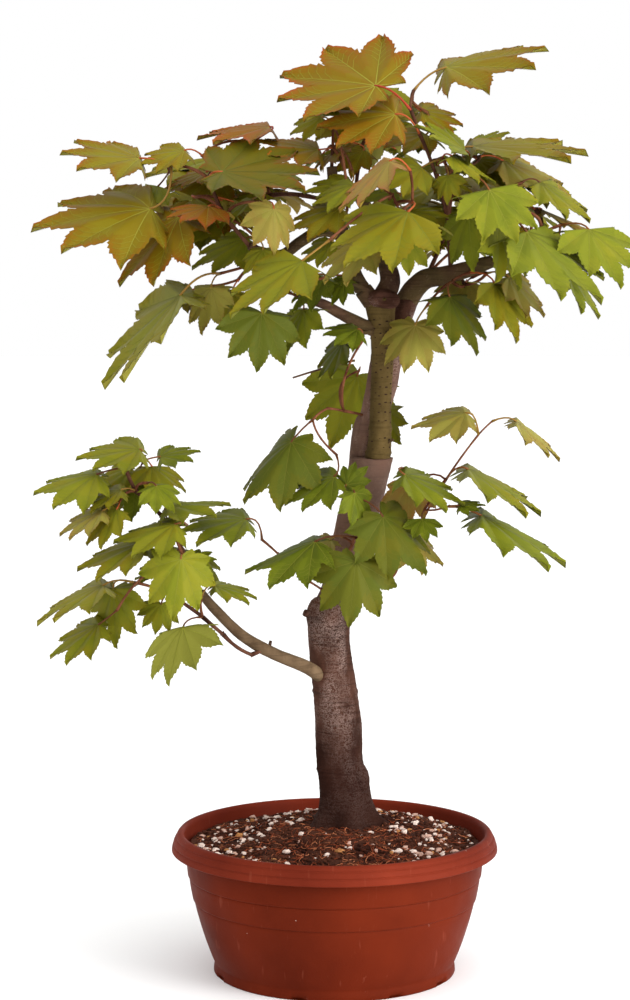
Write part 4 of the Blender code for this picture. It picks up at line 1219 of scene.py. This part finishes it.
def bark_mesh(name, sides):
    """The limb's own form with its bark's relief, as points and faces."""
    stations = LIMBS[name][0]
    if name == "low_left_bough":
        stations = BOUGH_FOOT + stations[2:]
    route = smooth_route(stations, BARK_STEP)
    return stitch(limb_rings(name, route, sides, lambda *spot: bark_relief(name, *spot)))


def blob(middle, sizes, rng, sides, rows, rough):
    """A small uneven lump."""
    points = [middle + Vector((0, 0, -sizes[2]))]
    for r in range(1, rows):
        rise = math.pi * r / rows
        for angle in turns(sides):
            scale = 1 + rng.uniform(-rough, rough)
            points.append(middle + Vector((sizes[0] * math.sin(rise) * math.cos(angle) * scale,
                                           sizes[1] * math.sin(rise) * math.sin(angle) * scale,
                                           -sizes[2] * math.cos(rise) * scale)))
    points.append(middle + Vector((0, 0, sizes[2])))
    faces = [(0, 1 + (k + 1) % sides, 1 + k) for k in range(sides)]
    for r in range(rows - 2):
        faces += band(1 + r * sides, 1 + (r + 1) * sides, sides)
    last = len(points) - 1
    faces += [(last, last - sides + k, last - sides + (k + 1) % sides) for k in range(sides)]
    return points, faces


# Pores: the columns' angles round the front stem, its heights, and how each dot stands out
PORE_COLUMNS = (-0.62, -0.12, 0.42, 1.0, 1.9, 2.8, 3.9, 4.8)
PORE_HEIGHTS = (484, 606)
PORE_SIDES = 8
PORE_RISE = 0.45
PORE_CROWN = 0.25


def lenticels(rng):
    """Dark oval pores in columns up the front stem, as raised dots."""
    dots = Sheets()
    stations = smooth_route(FRONT_STEM, BARK_STEP)
    faces = [(0, 1 + (k + 1) % PORE_SIDES, 1 + k) for k in range(PORE_SIDES)]
    for column in PORE_COLUMNS:
        height = PORE_HEIGHTS[0] + rng.uniform(0, 6)
        while height < PORE_HEIGHTS[1]:
            stop = min(stations, key=lambda s: abs(s.z - height))
            angle = column + rng.uniform(-0.12, 0.12)
            out = Vector((math.sin(angle), -math.cos(angle), 0))
            centre = Vector((stop.x, stop.y, height)) + out * (stop[3] + PORE_RISE)
            across = out.cross(UP)
            wide, tall = rng.uniform(1.1, 1.8), rng.uniform(0.5, 0.85)
            ring = [centre + across * wide * math.cos(a) + UP * tall * math.sin(a) - out * 0.5
                    for a in turns(PORE_SIDES)]
            dots.add([centre + out * PORE_CROWN] + ring, faces, 0)
            height += rng.uniform(6.5, 9.5)
    return dots


# Cut stubs and dead twigs: start, bend, end, and the radius at start and end
STUBS = (
    ((-14, 4, 329), (-22, 2, 331), (-28, 0, 334), 4.5, 3.0),
    ((10, 0, 344), (20, -6, 347), (24, -9, 353), 6.5, 3.0),
    ((30, -3, 628), (20, -9, 635), (9, -14, 637), 3.4, 2.0),
    ((34, -5, 592), (22, -10, 590), (14, -13, 588), 2.4, 1.6),
    ((18, -18, 566), (0, -22, 563), (-38, -30, 551), 1.1, 0.8),
    ((-60, -40, 304), (-59, -41, 309), (-58, -41, 314), 2.4, 1.2),
    ((46, -6, 490), (51, -9, 492), (53, -11, 494), 1.7, 1.0),
    ((60, 12, 600), (70, 6, 596), (76, 2, 597), 2.4, 1.5),
)
STUB_STEPS = 7
STUB_SIDES = 12
# Rounded lumps of bark: middle and half sizes
KNOBS = (((-14, 5, 331), (12, 10, 17)), ((22, 6, 176), (10.5, 10, 17)),
         ((-11, 10, 270), (7, 9, 11)), ((26, 22, 470), (12.5, 10, 46)))
BOUGH_LOOK = 0
OLD_LOOK = 1


def stubs(wood, rng):
    """Short stubs with a ring of bark and a flat weathered end, and the knobs of the trunk."""
    for i, (start, bend, end, thick, thin) in enumerate(STUBS):
        route = arc(Vector(start), Vector(bend), Vector(end), STUB_STEPS)
        radii = [(thick + (thin - thick) * (k / STUB_STEPS) ** 0.7) * (1 + 0.06 * math.sin(3 * k))
                 for k in range(STUB_STEPS + 1)]
        radii[-2] *= 1.15
        add_tube(wood, route, radii, STUB_SIDES, BOUGH_LOOK if i else OLD_LOOK)
    for middle, sizes in KNOBS:
        wood.add(*blob(Vector(middle), sizes, rng, 28, 18, 0.03), OLD_LOOK)


# The scar: its centre, radius and facing, and its section as shares of the radius and lifts
SCAR_CENTRE = (45, -7, 621)
SCAR_RADIUS = 8.0
SCAR_FACING = (0.12, -1, 0.05)
SCAR_SECTION = ((1.5, -2.5), (1.25, 0.2), (1.05, 1.6), (0.85, 1.9), (0.66, 1.0), (0.45, -0.8),
                (0.2, -1.2))
SCAR_SIDES = 28


def scar(wood, rng):
    """The knot where a bough was cut away: a rolled lip round a hollow of cracked wood."""
    centre = Vector(SCAR_CENTRE)
    out = Vector(SCAR_FACING).normalized()
    across = out.cross(UP).normalized()
    upward = across.cross(out)
    points = []
    for share, lift in SCAR_SECTION:
        for angle in turns(SCAR_SIDES):
            reach = 1 + 0.1 * math.sin(2 * angle + 1) + rng.uniform(-0.04, 0.04)
            reach *= SCAR_RADIUS * share
            points.append(centre + across * reach * math.cos(angle) * 1.1
                          + upward * reach * math.sin(angle) * 0.85
                          + out * (lift + rng.uniform(-0.25, 0.25)))
    faces = []
    last = (len(SCAR_SECTION) - 1) * SCAR_SIDES
    for first in range(0, last, SCAR_SIDES):
        faces += band(first, first + SCAR_SIDES, SCAR_SIDES, True)
    faces.append(tuple(range(last, last + SCAR_SIDES)))
    wood.add(points, faces, OLD_LOOK)


# The bowl: how deep its creases, its grooves and their heights, and the notches of its foot
POT_SIDES = 216
CREASE = 0.7
CREASE_WIDTH = 0.8
GROOVE = 0.9
GROOVES = (119.9, 126.1)
RIM_STEPS = 40
RIM_FACE = ((RIM_RADIUS, 115.2), (CREST_RADIUS + 3.2, 129))
WALL_FROM = 10.3
WALL_TO = 110.4
RECESS_RADIUS = wall_radius(112) - 1.8
NOTCH_ANGLES = (252, 299, 330, 15, 60, 105, 150, 200)
NOTCH_HALF = 3.4


def pot_profile():
    """The pot's outer wall, rim and inner wall from the middle of its foot to its floor."""
    foot = [(8, 0), (60, 0), (FOOT_RADIUS - 1.4, 0), (FOOT_RADIUS - 0.4, 0.4), (FOOT_RADIUS, 1.3),
            (FOOT_RADIUS - 0.3, 5), (FOOT_RADIUS - 0.8, 8), (FOOT_RADIUS - 0.9, 9.3)]
    wall = []
    height = WALL_FROM
    while height < WALL_TO:
        near = min(abs(height - edge) for edge in WALL_STEPS)
        wall.append((wall_radius(height) - CREASE * math.exp(-(near / CREASE_WIDTH) ** 2), height))
        height += 0.4 if near < 2.4 else 2.6
    rim = [(wall_radius(110.6), 110.6), (RECESS_RADIUS, 111), (RECESS_RADIUS, 112.7),
           (RIM_RADIUS - 4, 113.2), (RIM_RADIUS - 0.8, 113.4), (RIM_RADIUS, 114)]
    low, high = RIM_FACE
    for i in range(RIM_STEPS + 1):
        height = low[1] + (high[1] - low[1]) * i / RIM_STEPS
        bulge = 0.9 * math.sin(math.pi * i / RIM_STEPS)
        radius = low[0] + (high[0] - low[0]) * i / RIM_STEPS + bulge
        radius -= GROOVE * sum(math.exp(-((height - groove) / CREASE_WIDTH) ** 2)
                               for groove in GROOVES)
        rim.append((radius, height))
    rim += [(CREST_RADIUS + 1.8, 130.5), (CREST_RADIUS, POT_HEIGHT), (CREST_RADIUS - 1.8, 130.6),
            (CREST_RADIUS - 3, 129), (CREST_RADIUS - 3.6, 126), (CREST_RADIUS - 4.4, 118)]
    inner = [(wall_radius(h) - WALL, h) for h in (110, 92, 74, 56, 38, 20, 10)]
    return foot + wall + rim + inner + [(FOOT_RADIUS - 8, WALL + 1.5), (8, WALL + 1.5)]


def pot_wobble(angle, height):
    """Slight waves of a thin moulded wall, and the notches in the foot's edge."""
    out = 0.25 * math.sin(3 * angle + 0.4) * height / POT_HEIGHT
    if 0.2 < height < 4:
        for notch in NOTCH_ANGLES:
            away = abs((math.degrees(angle) - notch + 180) % 360 - 180)
            if away < NOTCH_HALF:
                out -= 4.5 * (1 - height / 5)
    return out


def pot_mesh():
    """The turned bowl, as points and faces."""
    rings = []
    for radius, height in pot_profile():
        ring = []
        for angle in turns(POT_SIDES):
            out = radius + pot_wobble(angle, height)
            ring.append((out * math.cos(angle), out * math.sin(angle), height))
        rings.append(ring)
    return stitch(rings)


def pot_material():
    """Matte terracotta plastic with pale scuffs, fine upright scratches and a few white specks."""
    look = Look("terracotta_plastic", srgb(112, 34, 15), 0.55, 0.03)
    cloud = look.noise(9, 4)
    # The wall below the rim is tinted darker than the rim: painted shade, because the same plastic lies
    # in the rim's shade and gets less light from above
    rim = look.ramp(cloud, (0.32, srgb(92, 30, 17)), (0.7, srgb(121, 44, 26)))
    wall = look.ramp(cloud, (0.3, srgb(80, 24, 9)), (0.7, srgb(105, 35, 15)))
    colour = look.mix(look.rise(112, 114), wall, rim)
    scratches = look.share(look.noise(260, 3, (1, 1, 0.05), 0.7), 0.66, 0.72, 0.22)
    patches = look.share(look.noise(24), 0.5, 0.62, 1)
    colour = look.mix(look.both(scratches, patches), colour, srgb(164, 92, 72))
    scuffs = look.share(look.noise(120, 2, (1.6, 0.5, 0.25), 0.5), 0.68, 0.76, 0.18)
    colour = look.mix(scuffs, colour, srgb(156, 84, 64))
    specks = look.share(look.noise(210, 1), 0.82, 0.83, 0.7)
    look.paint(look.mix(specks, colour, srgb(214, 190, 176)))
    look.bump(look.noise(520), 0.12)
    matte = look.ramp(look.noise(30, 4), (0.3, (0.42,) * 3), (0.7, (0.6,) * 3))
    look.paint(matte, "Roughness")
    return look.material


def peat_material(name, dark, light):
    """Crumbly brown potting mix."""
    look = Look(name, srgb(*light), 0.95)
    crumb = look.noise(300, 5, rough=0.7)
    colour = look.ramp(crumb, (0.36, srgb(*dark)), (0.64, srgb(*light)))
    patches = look.share(look.noise(26), 0.4, 0.65, 0.6)
    look.paint(look.mix(patches, colour, srgb(96, 56, 40)))
    look.bump(crumb, 2.2)
    return look.material


def grit_material(name, tint, spread):
    """Small stones or fibres with a light variation of tone."""
    colour = srgb(*tint)
    look = Look(name, colour, 0.9)
    look.paint(look.ramp(look.noise(140), (0.3, [c * (1 - spread) for c in colour]),
                         (0.7, [min(1, c * (1 + spread)) for c in colour])))
    return look.material


# The soil's mesh and how many grains lie on it
SOIL_RADIUS = 133.2
SOIL_RINGS = 84
SOIL_TURNS = 240
SOIL_DEPTHS = (112, 100, 78, 54, 30, 12)
CRUMBS = 2600
PERLITE = 620
FIBRES = 1700
FIBRE_STEPS = 5
# How far the grains stay from the trunk's middle
CRUMBS_CLEAR = 33
PERLITE_CLEAR = 44
FIBRES_CLEAR = 34
# White grains are few over a stretch of X in front of the trunk, and half of the fibres lie in
# front of a line of Y, no further out along X than this
FEW_WHITE = (-62, 48)
FEW_WHITE_SHARE = 0.72
FIBRE_FRONT = -15
FIBRE_SPREAD = 75
# Materials of the soil: name, dark and light tint, then name, tint and spread of tone
PEATS = (("peat", (27, 10, 5), (68, 31, 17)), ("peat_crumb", (38, 17, 11), (86, 44, 28)))
GRITS = (("perlite", (216, 196, 184), 0.12), ("perlite_stained", (188, 152, 136), 0.16),
         ("bark_chip", (168, 116, 70), 0.2), ("coir", (134, 64, 38), 0.25),
         ("coir_pale", (172, 104, 70), 0.25))
# What each kind of grain is made of, by its place among those materials
CRUMB_LOOKS = (0, 0, 1)
PERLITE_LOOKS = (2, 2, 3)
CHIP_LOOK = 4
FIBRE_LOOKS = (5, 5, 6)
PERLITE_SIZES = (0.8, 0.9, 1.1, 1.3, 1.5, 1.7, 1.9, 2.2, 2.8)


def ground_at(x, y):
    """The height of the crumbly soil, a little above the plain mound."""
    lump = noise.fractal(Vector((x * 0.06, y * 0.06, 3)), 0.8, 2.2, 4)
    return soil_height(x, y) + 1.1 + 1.9 * lump


def soil_mesh():
    """A disc of uneven soil that turns down at the pot's wall, as points and faces."""
    points = [(0, 0, ground_at(0, 0))]
    for r in range(1, SOIL_RINGS + 1):
        radius = SOIL_RADIUS * r / SOIL_RINGS
        for angle in turns(SOIL_TURNS):
            x, y = radius * math.cos(angle), radius * math.sin(angle)
            points.append((x, y, ground_at(x, y) + 0.6 * noise.noise(Vector((x, y, 0)) * 0.9)))
    for height in SOIL_DEPTHS:
        radius = wall_radius(height) - WALL - 2 * GAP
        points += [(radius * math.cos(angle), radius * math.sin(angle), height)
                   for angle in turns(SOIL_TURNS)]
    faces = [(0, 1 + k, 1 + (k + 1) % SOIL_TURNS) for k in range(SOIL_TURNS)]
    last = len(points) - SOIL_TURNS
    for first in range(1, last, SOIL_TURNS):
        faces += band(first, first + SOIL_TURNS, SOIL_TURNS, True)
    faces.append(tuple(range(last, last + SOIL_TURNS))[::-1])
    return points, faces


def soil_spot(rng, near):
    """A random place on the soil, clear of the trunk's foot."""
    while True:
        radius = (SOIL_RADIUS - 3) * math.sqrt(rng.random())
        angle = rng.uniform(0, 2 * math.pi)
        x, y = radius * math.cos(angle), radius * math.sin(angle)
        if math.hypot(x - TRUNK[0][0], y - TRUNK[0][1]) > near:
            return x, y


def scatter_soil(rng):
    """Crumbs, white grains and reddish fibres that lie in the top of the soil."""
    crumbs, grains, fibres = Sheets(), Sheets(), Sheets()
    for _ in range(CRUMBS):
        x, y = soil_spot(rng, CRUMBS_CLEAR)
        size = rng.uniform(0.7, 2.3)
        lump = blob(Vector((x, y, ground_at(x, y) + size * 0.3)),
                    (size * rng.uniform(0.8, 1.6), size, size * 0.8), rng, 5, 4, 0.3)
        crumbs.add(*lump, rng.choice(CRUMB_LOOKS))
    for _ in range(PERLITE):
        x, y = soil_spot(rng, PERLITE_CLEAR)
        if rng.random() < FEW_WHITE_SHARE and y < 0 and FEW_WHITE[0] < x < FEW_WHITE[1]:
            continue
        size = rng.choice(PERLITE_SIZES)
        lump = blob(Vector((x, y, ground_at(x, y) + size * 0.45)),
                    (size * rng.uniform(0.9, 1.5), size, size * 0.8), rng, 6, 5, 0.34)
        grains.add(*lump, CHIP_LOOK if rng.random() < 0.12 else rng.choice(PERLITE_LOOKS))
    for _ in range(FIBRES):
        x, y = soil_spot(rng, FIBRES_CLEAR)
        if rng.random() < 0.5 and not (y < FIBRE_FRONT and abs(x) < FIBRE_SPREAD):
            continue
        heading = rng.uniform(0, 2 * math.pi)
        run = rng.uniform(4, 15)
        route = []
        for _ in range(FIBRE_STEPS + 1):
            route.append(Vector((x, y, ground_at(x, y) + 0.5 + rng.uniform(0, 1.1))))
            heading += rng.uniform(-0.5, 0.5)
            x += math.cos(heading) * run / FIBRE_STEPS
            y += math.sin(heading) * run / FIBRE_STEPS
        if math.hypot(x, y) < SOIL_RADIUS - 3:
            radii = [rng.uniform(0.14, 0.4)] * (FIBRE_STEPS + 1)
            add_tube(fibres, route, radii, 4, rng.choice(FIBRE_LOOKS))
    return crumbs, grains, fibres


def build_crown():
    """Replace each mass with its fine leaves, veins, twigs and stalks."""
    plans = grow_crown()
    grow_finer(plans)
    tints = leaf_materials()
    templates = [LeafTemplate(seed) for seed in range(TEMPLATES)]
    barks = [bark_material("twig_bark"), bark_material("young_twig_bark")]
    stalk_tints = [Look(f"leaf_stalk_{i + 1}", srgb(*tint), 0.45).material
                   for i, tint in enumerate(STALK_TINTS)]
    for name, plan in plans.items():
        rng = random.Random(plan.spec["seed"] * 3 + 1)
        in_crown = name.startswith("crown")
        slot = "leaf_olive" if in_crown else "leaf_green"
        blades, veins, wood, stalks = Sheets(), Sheets(), Sheets(), Sheets()
        stalk_looks = []
        hangs = HANGS.get(name, {})
        shown = {leaf[:1] + leaf[2:]: (SHOWN_LOOKS[name][i], hangs.get(i, HANG))
                 for i, leaf in enumerate(plan.spec["leaves"])}
        for leaf, _ in plan.leaves:
            look = shown.get(leaf[:1] + leaf[2:]) or (rng.choice(REST_LOOKS[in_crown]), HANG)
            add_leaf(blades, veins, leaf, *look, rng.choice(templates), rng)
            stalk_looks.append(rng.choice(STALKS_OF[look[0]]))
        add_twigs(plan, wood, GIRTHS.get(name, GIRTH))
        add_stalks(plan, stalks, stalk_looks, rng)
        blades.piece(f"{name}_leaves", tints, slot, (name,))
        veins.piece(f"{name}_veins", tints, slot)
        stalks.piece(f"{name}_stalks", stalk_tints, slot)
        wood.piece(f"{name}_twigs", barks, slot)


# The bark and the number of sides of each limb
LIMB_LOOKS = {
    "trunk": ("old_bark", 120), "rear_stem": ("old_bark", 84), "front_stem": ("stem_bark", 84),
    "right_bough": ("bough_bark", 56), "top_bough": ("bough_bark", 52),
    "left_limb": ("bough_bark", 44), "far_left_bough": ("bough_bark", 36),
    "left_side_bough": ("bough_bark", 36), "low_left_bough": ("low_bough_bark", 44),
}


def build_limbs():
    """Bark with relief in place of each plain limb."""
    barks = {name: bark_material(name)
             for name in ("old_bark", "stem_bark", "bough_bark", "low_bough_bark")}
    for name, (bark, sides) in LIMB_LOOKS.items():
        slot = "old_bark" if bark == "old_bark" else "young_bark"
        Sheets(*bark_mesh(name, sides)).piece(f"{name}_bark", [barks[bark]], slot, (name,))
    rng = random.Random(8)
    pore = Look("pores", srgb(44, 30, 22), 0.9).material
    lenticels(rng).piece("stem_pores", [pore], "young_bark")
    wood = Sheets()
    stubs(wood, rng)
    scar(wood, rng)
    wood.piece("stubs_and_scar", [barks["bough_bark"], barks["old_bark"]], "old_bark")


def build_pot_and_soil():
    """The moulded bowl and its potting mix."""
    pot = Sheets(*pot_mesh()).piece("bowl", [pot_material()], "terracotta_plastic", ("pot",))
    pot.data.set_sharp_from_angle(angle=math.radians(50))
    looks = [peat_material(*peat) for peat in PEATS] + [grit_material(*grit) for grit in GRITS]
    Sheets(*soil_mesh()).piece("potting_mix", looks, "peat", ("soil",))
    crumbs, grains, fibres = scatter_soil(random.Random(5))
    crumbs.piece("soil_crumbs", looks, "peat")
    grains.piece("perlite_grains", looks, "peat", smooth=False)
    fibres.piece("coir_fibres", looks, "peat")


# The stage, in metres, degrees and watts: floor, sun, lamps with place, size and power, camera
FLOOR_REACH = 12
SKY_LIGHT = 1.0
SUN_LIGHT = 1.0
SUN_SPREAD = 100
SUN_TURN = (30, 26, 0)
LAMPS = (("key", (2.0, -1.7, 1.3), 1.4, 40), ("side", (1.5, -0.7, 0.1), 0.7, 15),
         ("fill", (-1.6, -2.3, 1.4), 1.6, 3))
LAMP_AIM = (0, 0, 0.45)
CAMERA_PLACE = (-0.018, -2.455, 0.684)
CAMERA_DIP = 5.73
SENSOR_HEIGHT = 36
LENS = 97.2


def add_object(name, data):
    """A mesh, light or camera put in the scene."""
    made = bpy.data.objects.new(name, data)
    bpy.context.scene.collection.objects.link(made)
    return made


def stage():
    """A pale floor, soft studio light and the camera at eye level in front."""
    scene = bpy.context.scene
    scene.view_settings.view_transform = "Standard"
    mesh = bpy.data.meshes.new("floor")
    mesh.from_pydata([(x * FLOOR_REACH, y * FLOOR_REACH, 0)
                      for x, y in ((-1, -1), (1, -1), (1, 1), (-1, 1))], [], [(0, 1, 2, 3)])
    mesh.materials.append(Look("floor", (1, 1, 1), 0.9).material)
    add_object("floor", mesh)
    world = bpy.data.worlds.new("studio")
    scene.world = world
    world.use_nodes = True
    sky = world.node_tree.nodes["Background"]
    sky.inputs["Color"].default_value = (1, 1, 1, 1)
    sky.inputs["Strength"].default_value = SKY_LIGHT
    sun = bpy.data.lights.new("overhead", "SUN")
    sun.energy = SUN_LIGHT
    sun.angle = math.radians(SUN_SPREAD)
    overhead = add_object("overhead", sun)
    overhead.rotation_euler = [math.radians(angle) for angle in SUN_TURN]
    for name, place, size, power in LAMPS:
        light = bpy.data.lights.new(name, "AREA")
        light.size = size
        light.energy = power
        lamp = add_object(name, light)
        lamp.location = place
        aim = Vector(LAMP_AIM) - Vector(place)
        lamp.rotation_euler = aim.to_track_quat("-Z", "Y").to_euler()
    optics = bpy.data.cameras.new("camera")
    optics.sensor_fit = "VERTICAL"
    optics.sensor_height = SENSOR_HEIGHT
    optics.lens = LENS
    camera = add_object("camera", optics)
    camera.location = CAMERA_PLACE
    camera.rotation_euler = (math.radians(90 - CAMERA_DIP), 0, 0)
    scene.camera = camera


build_crown()
build_limbs()
build_pot_and_soil()
stage()
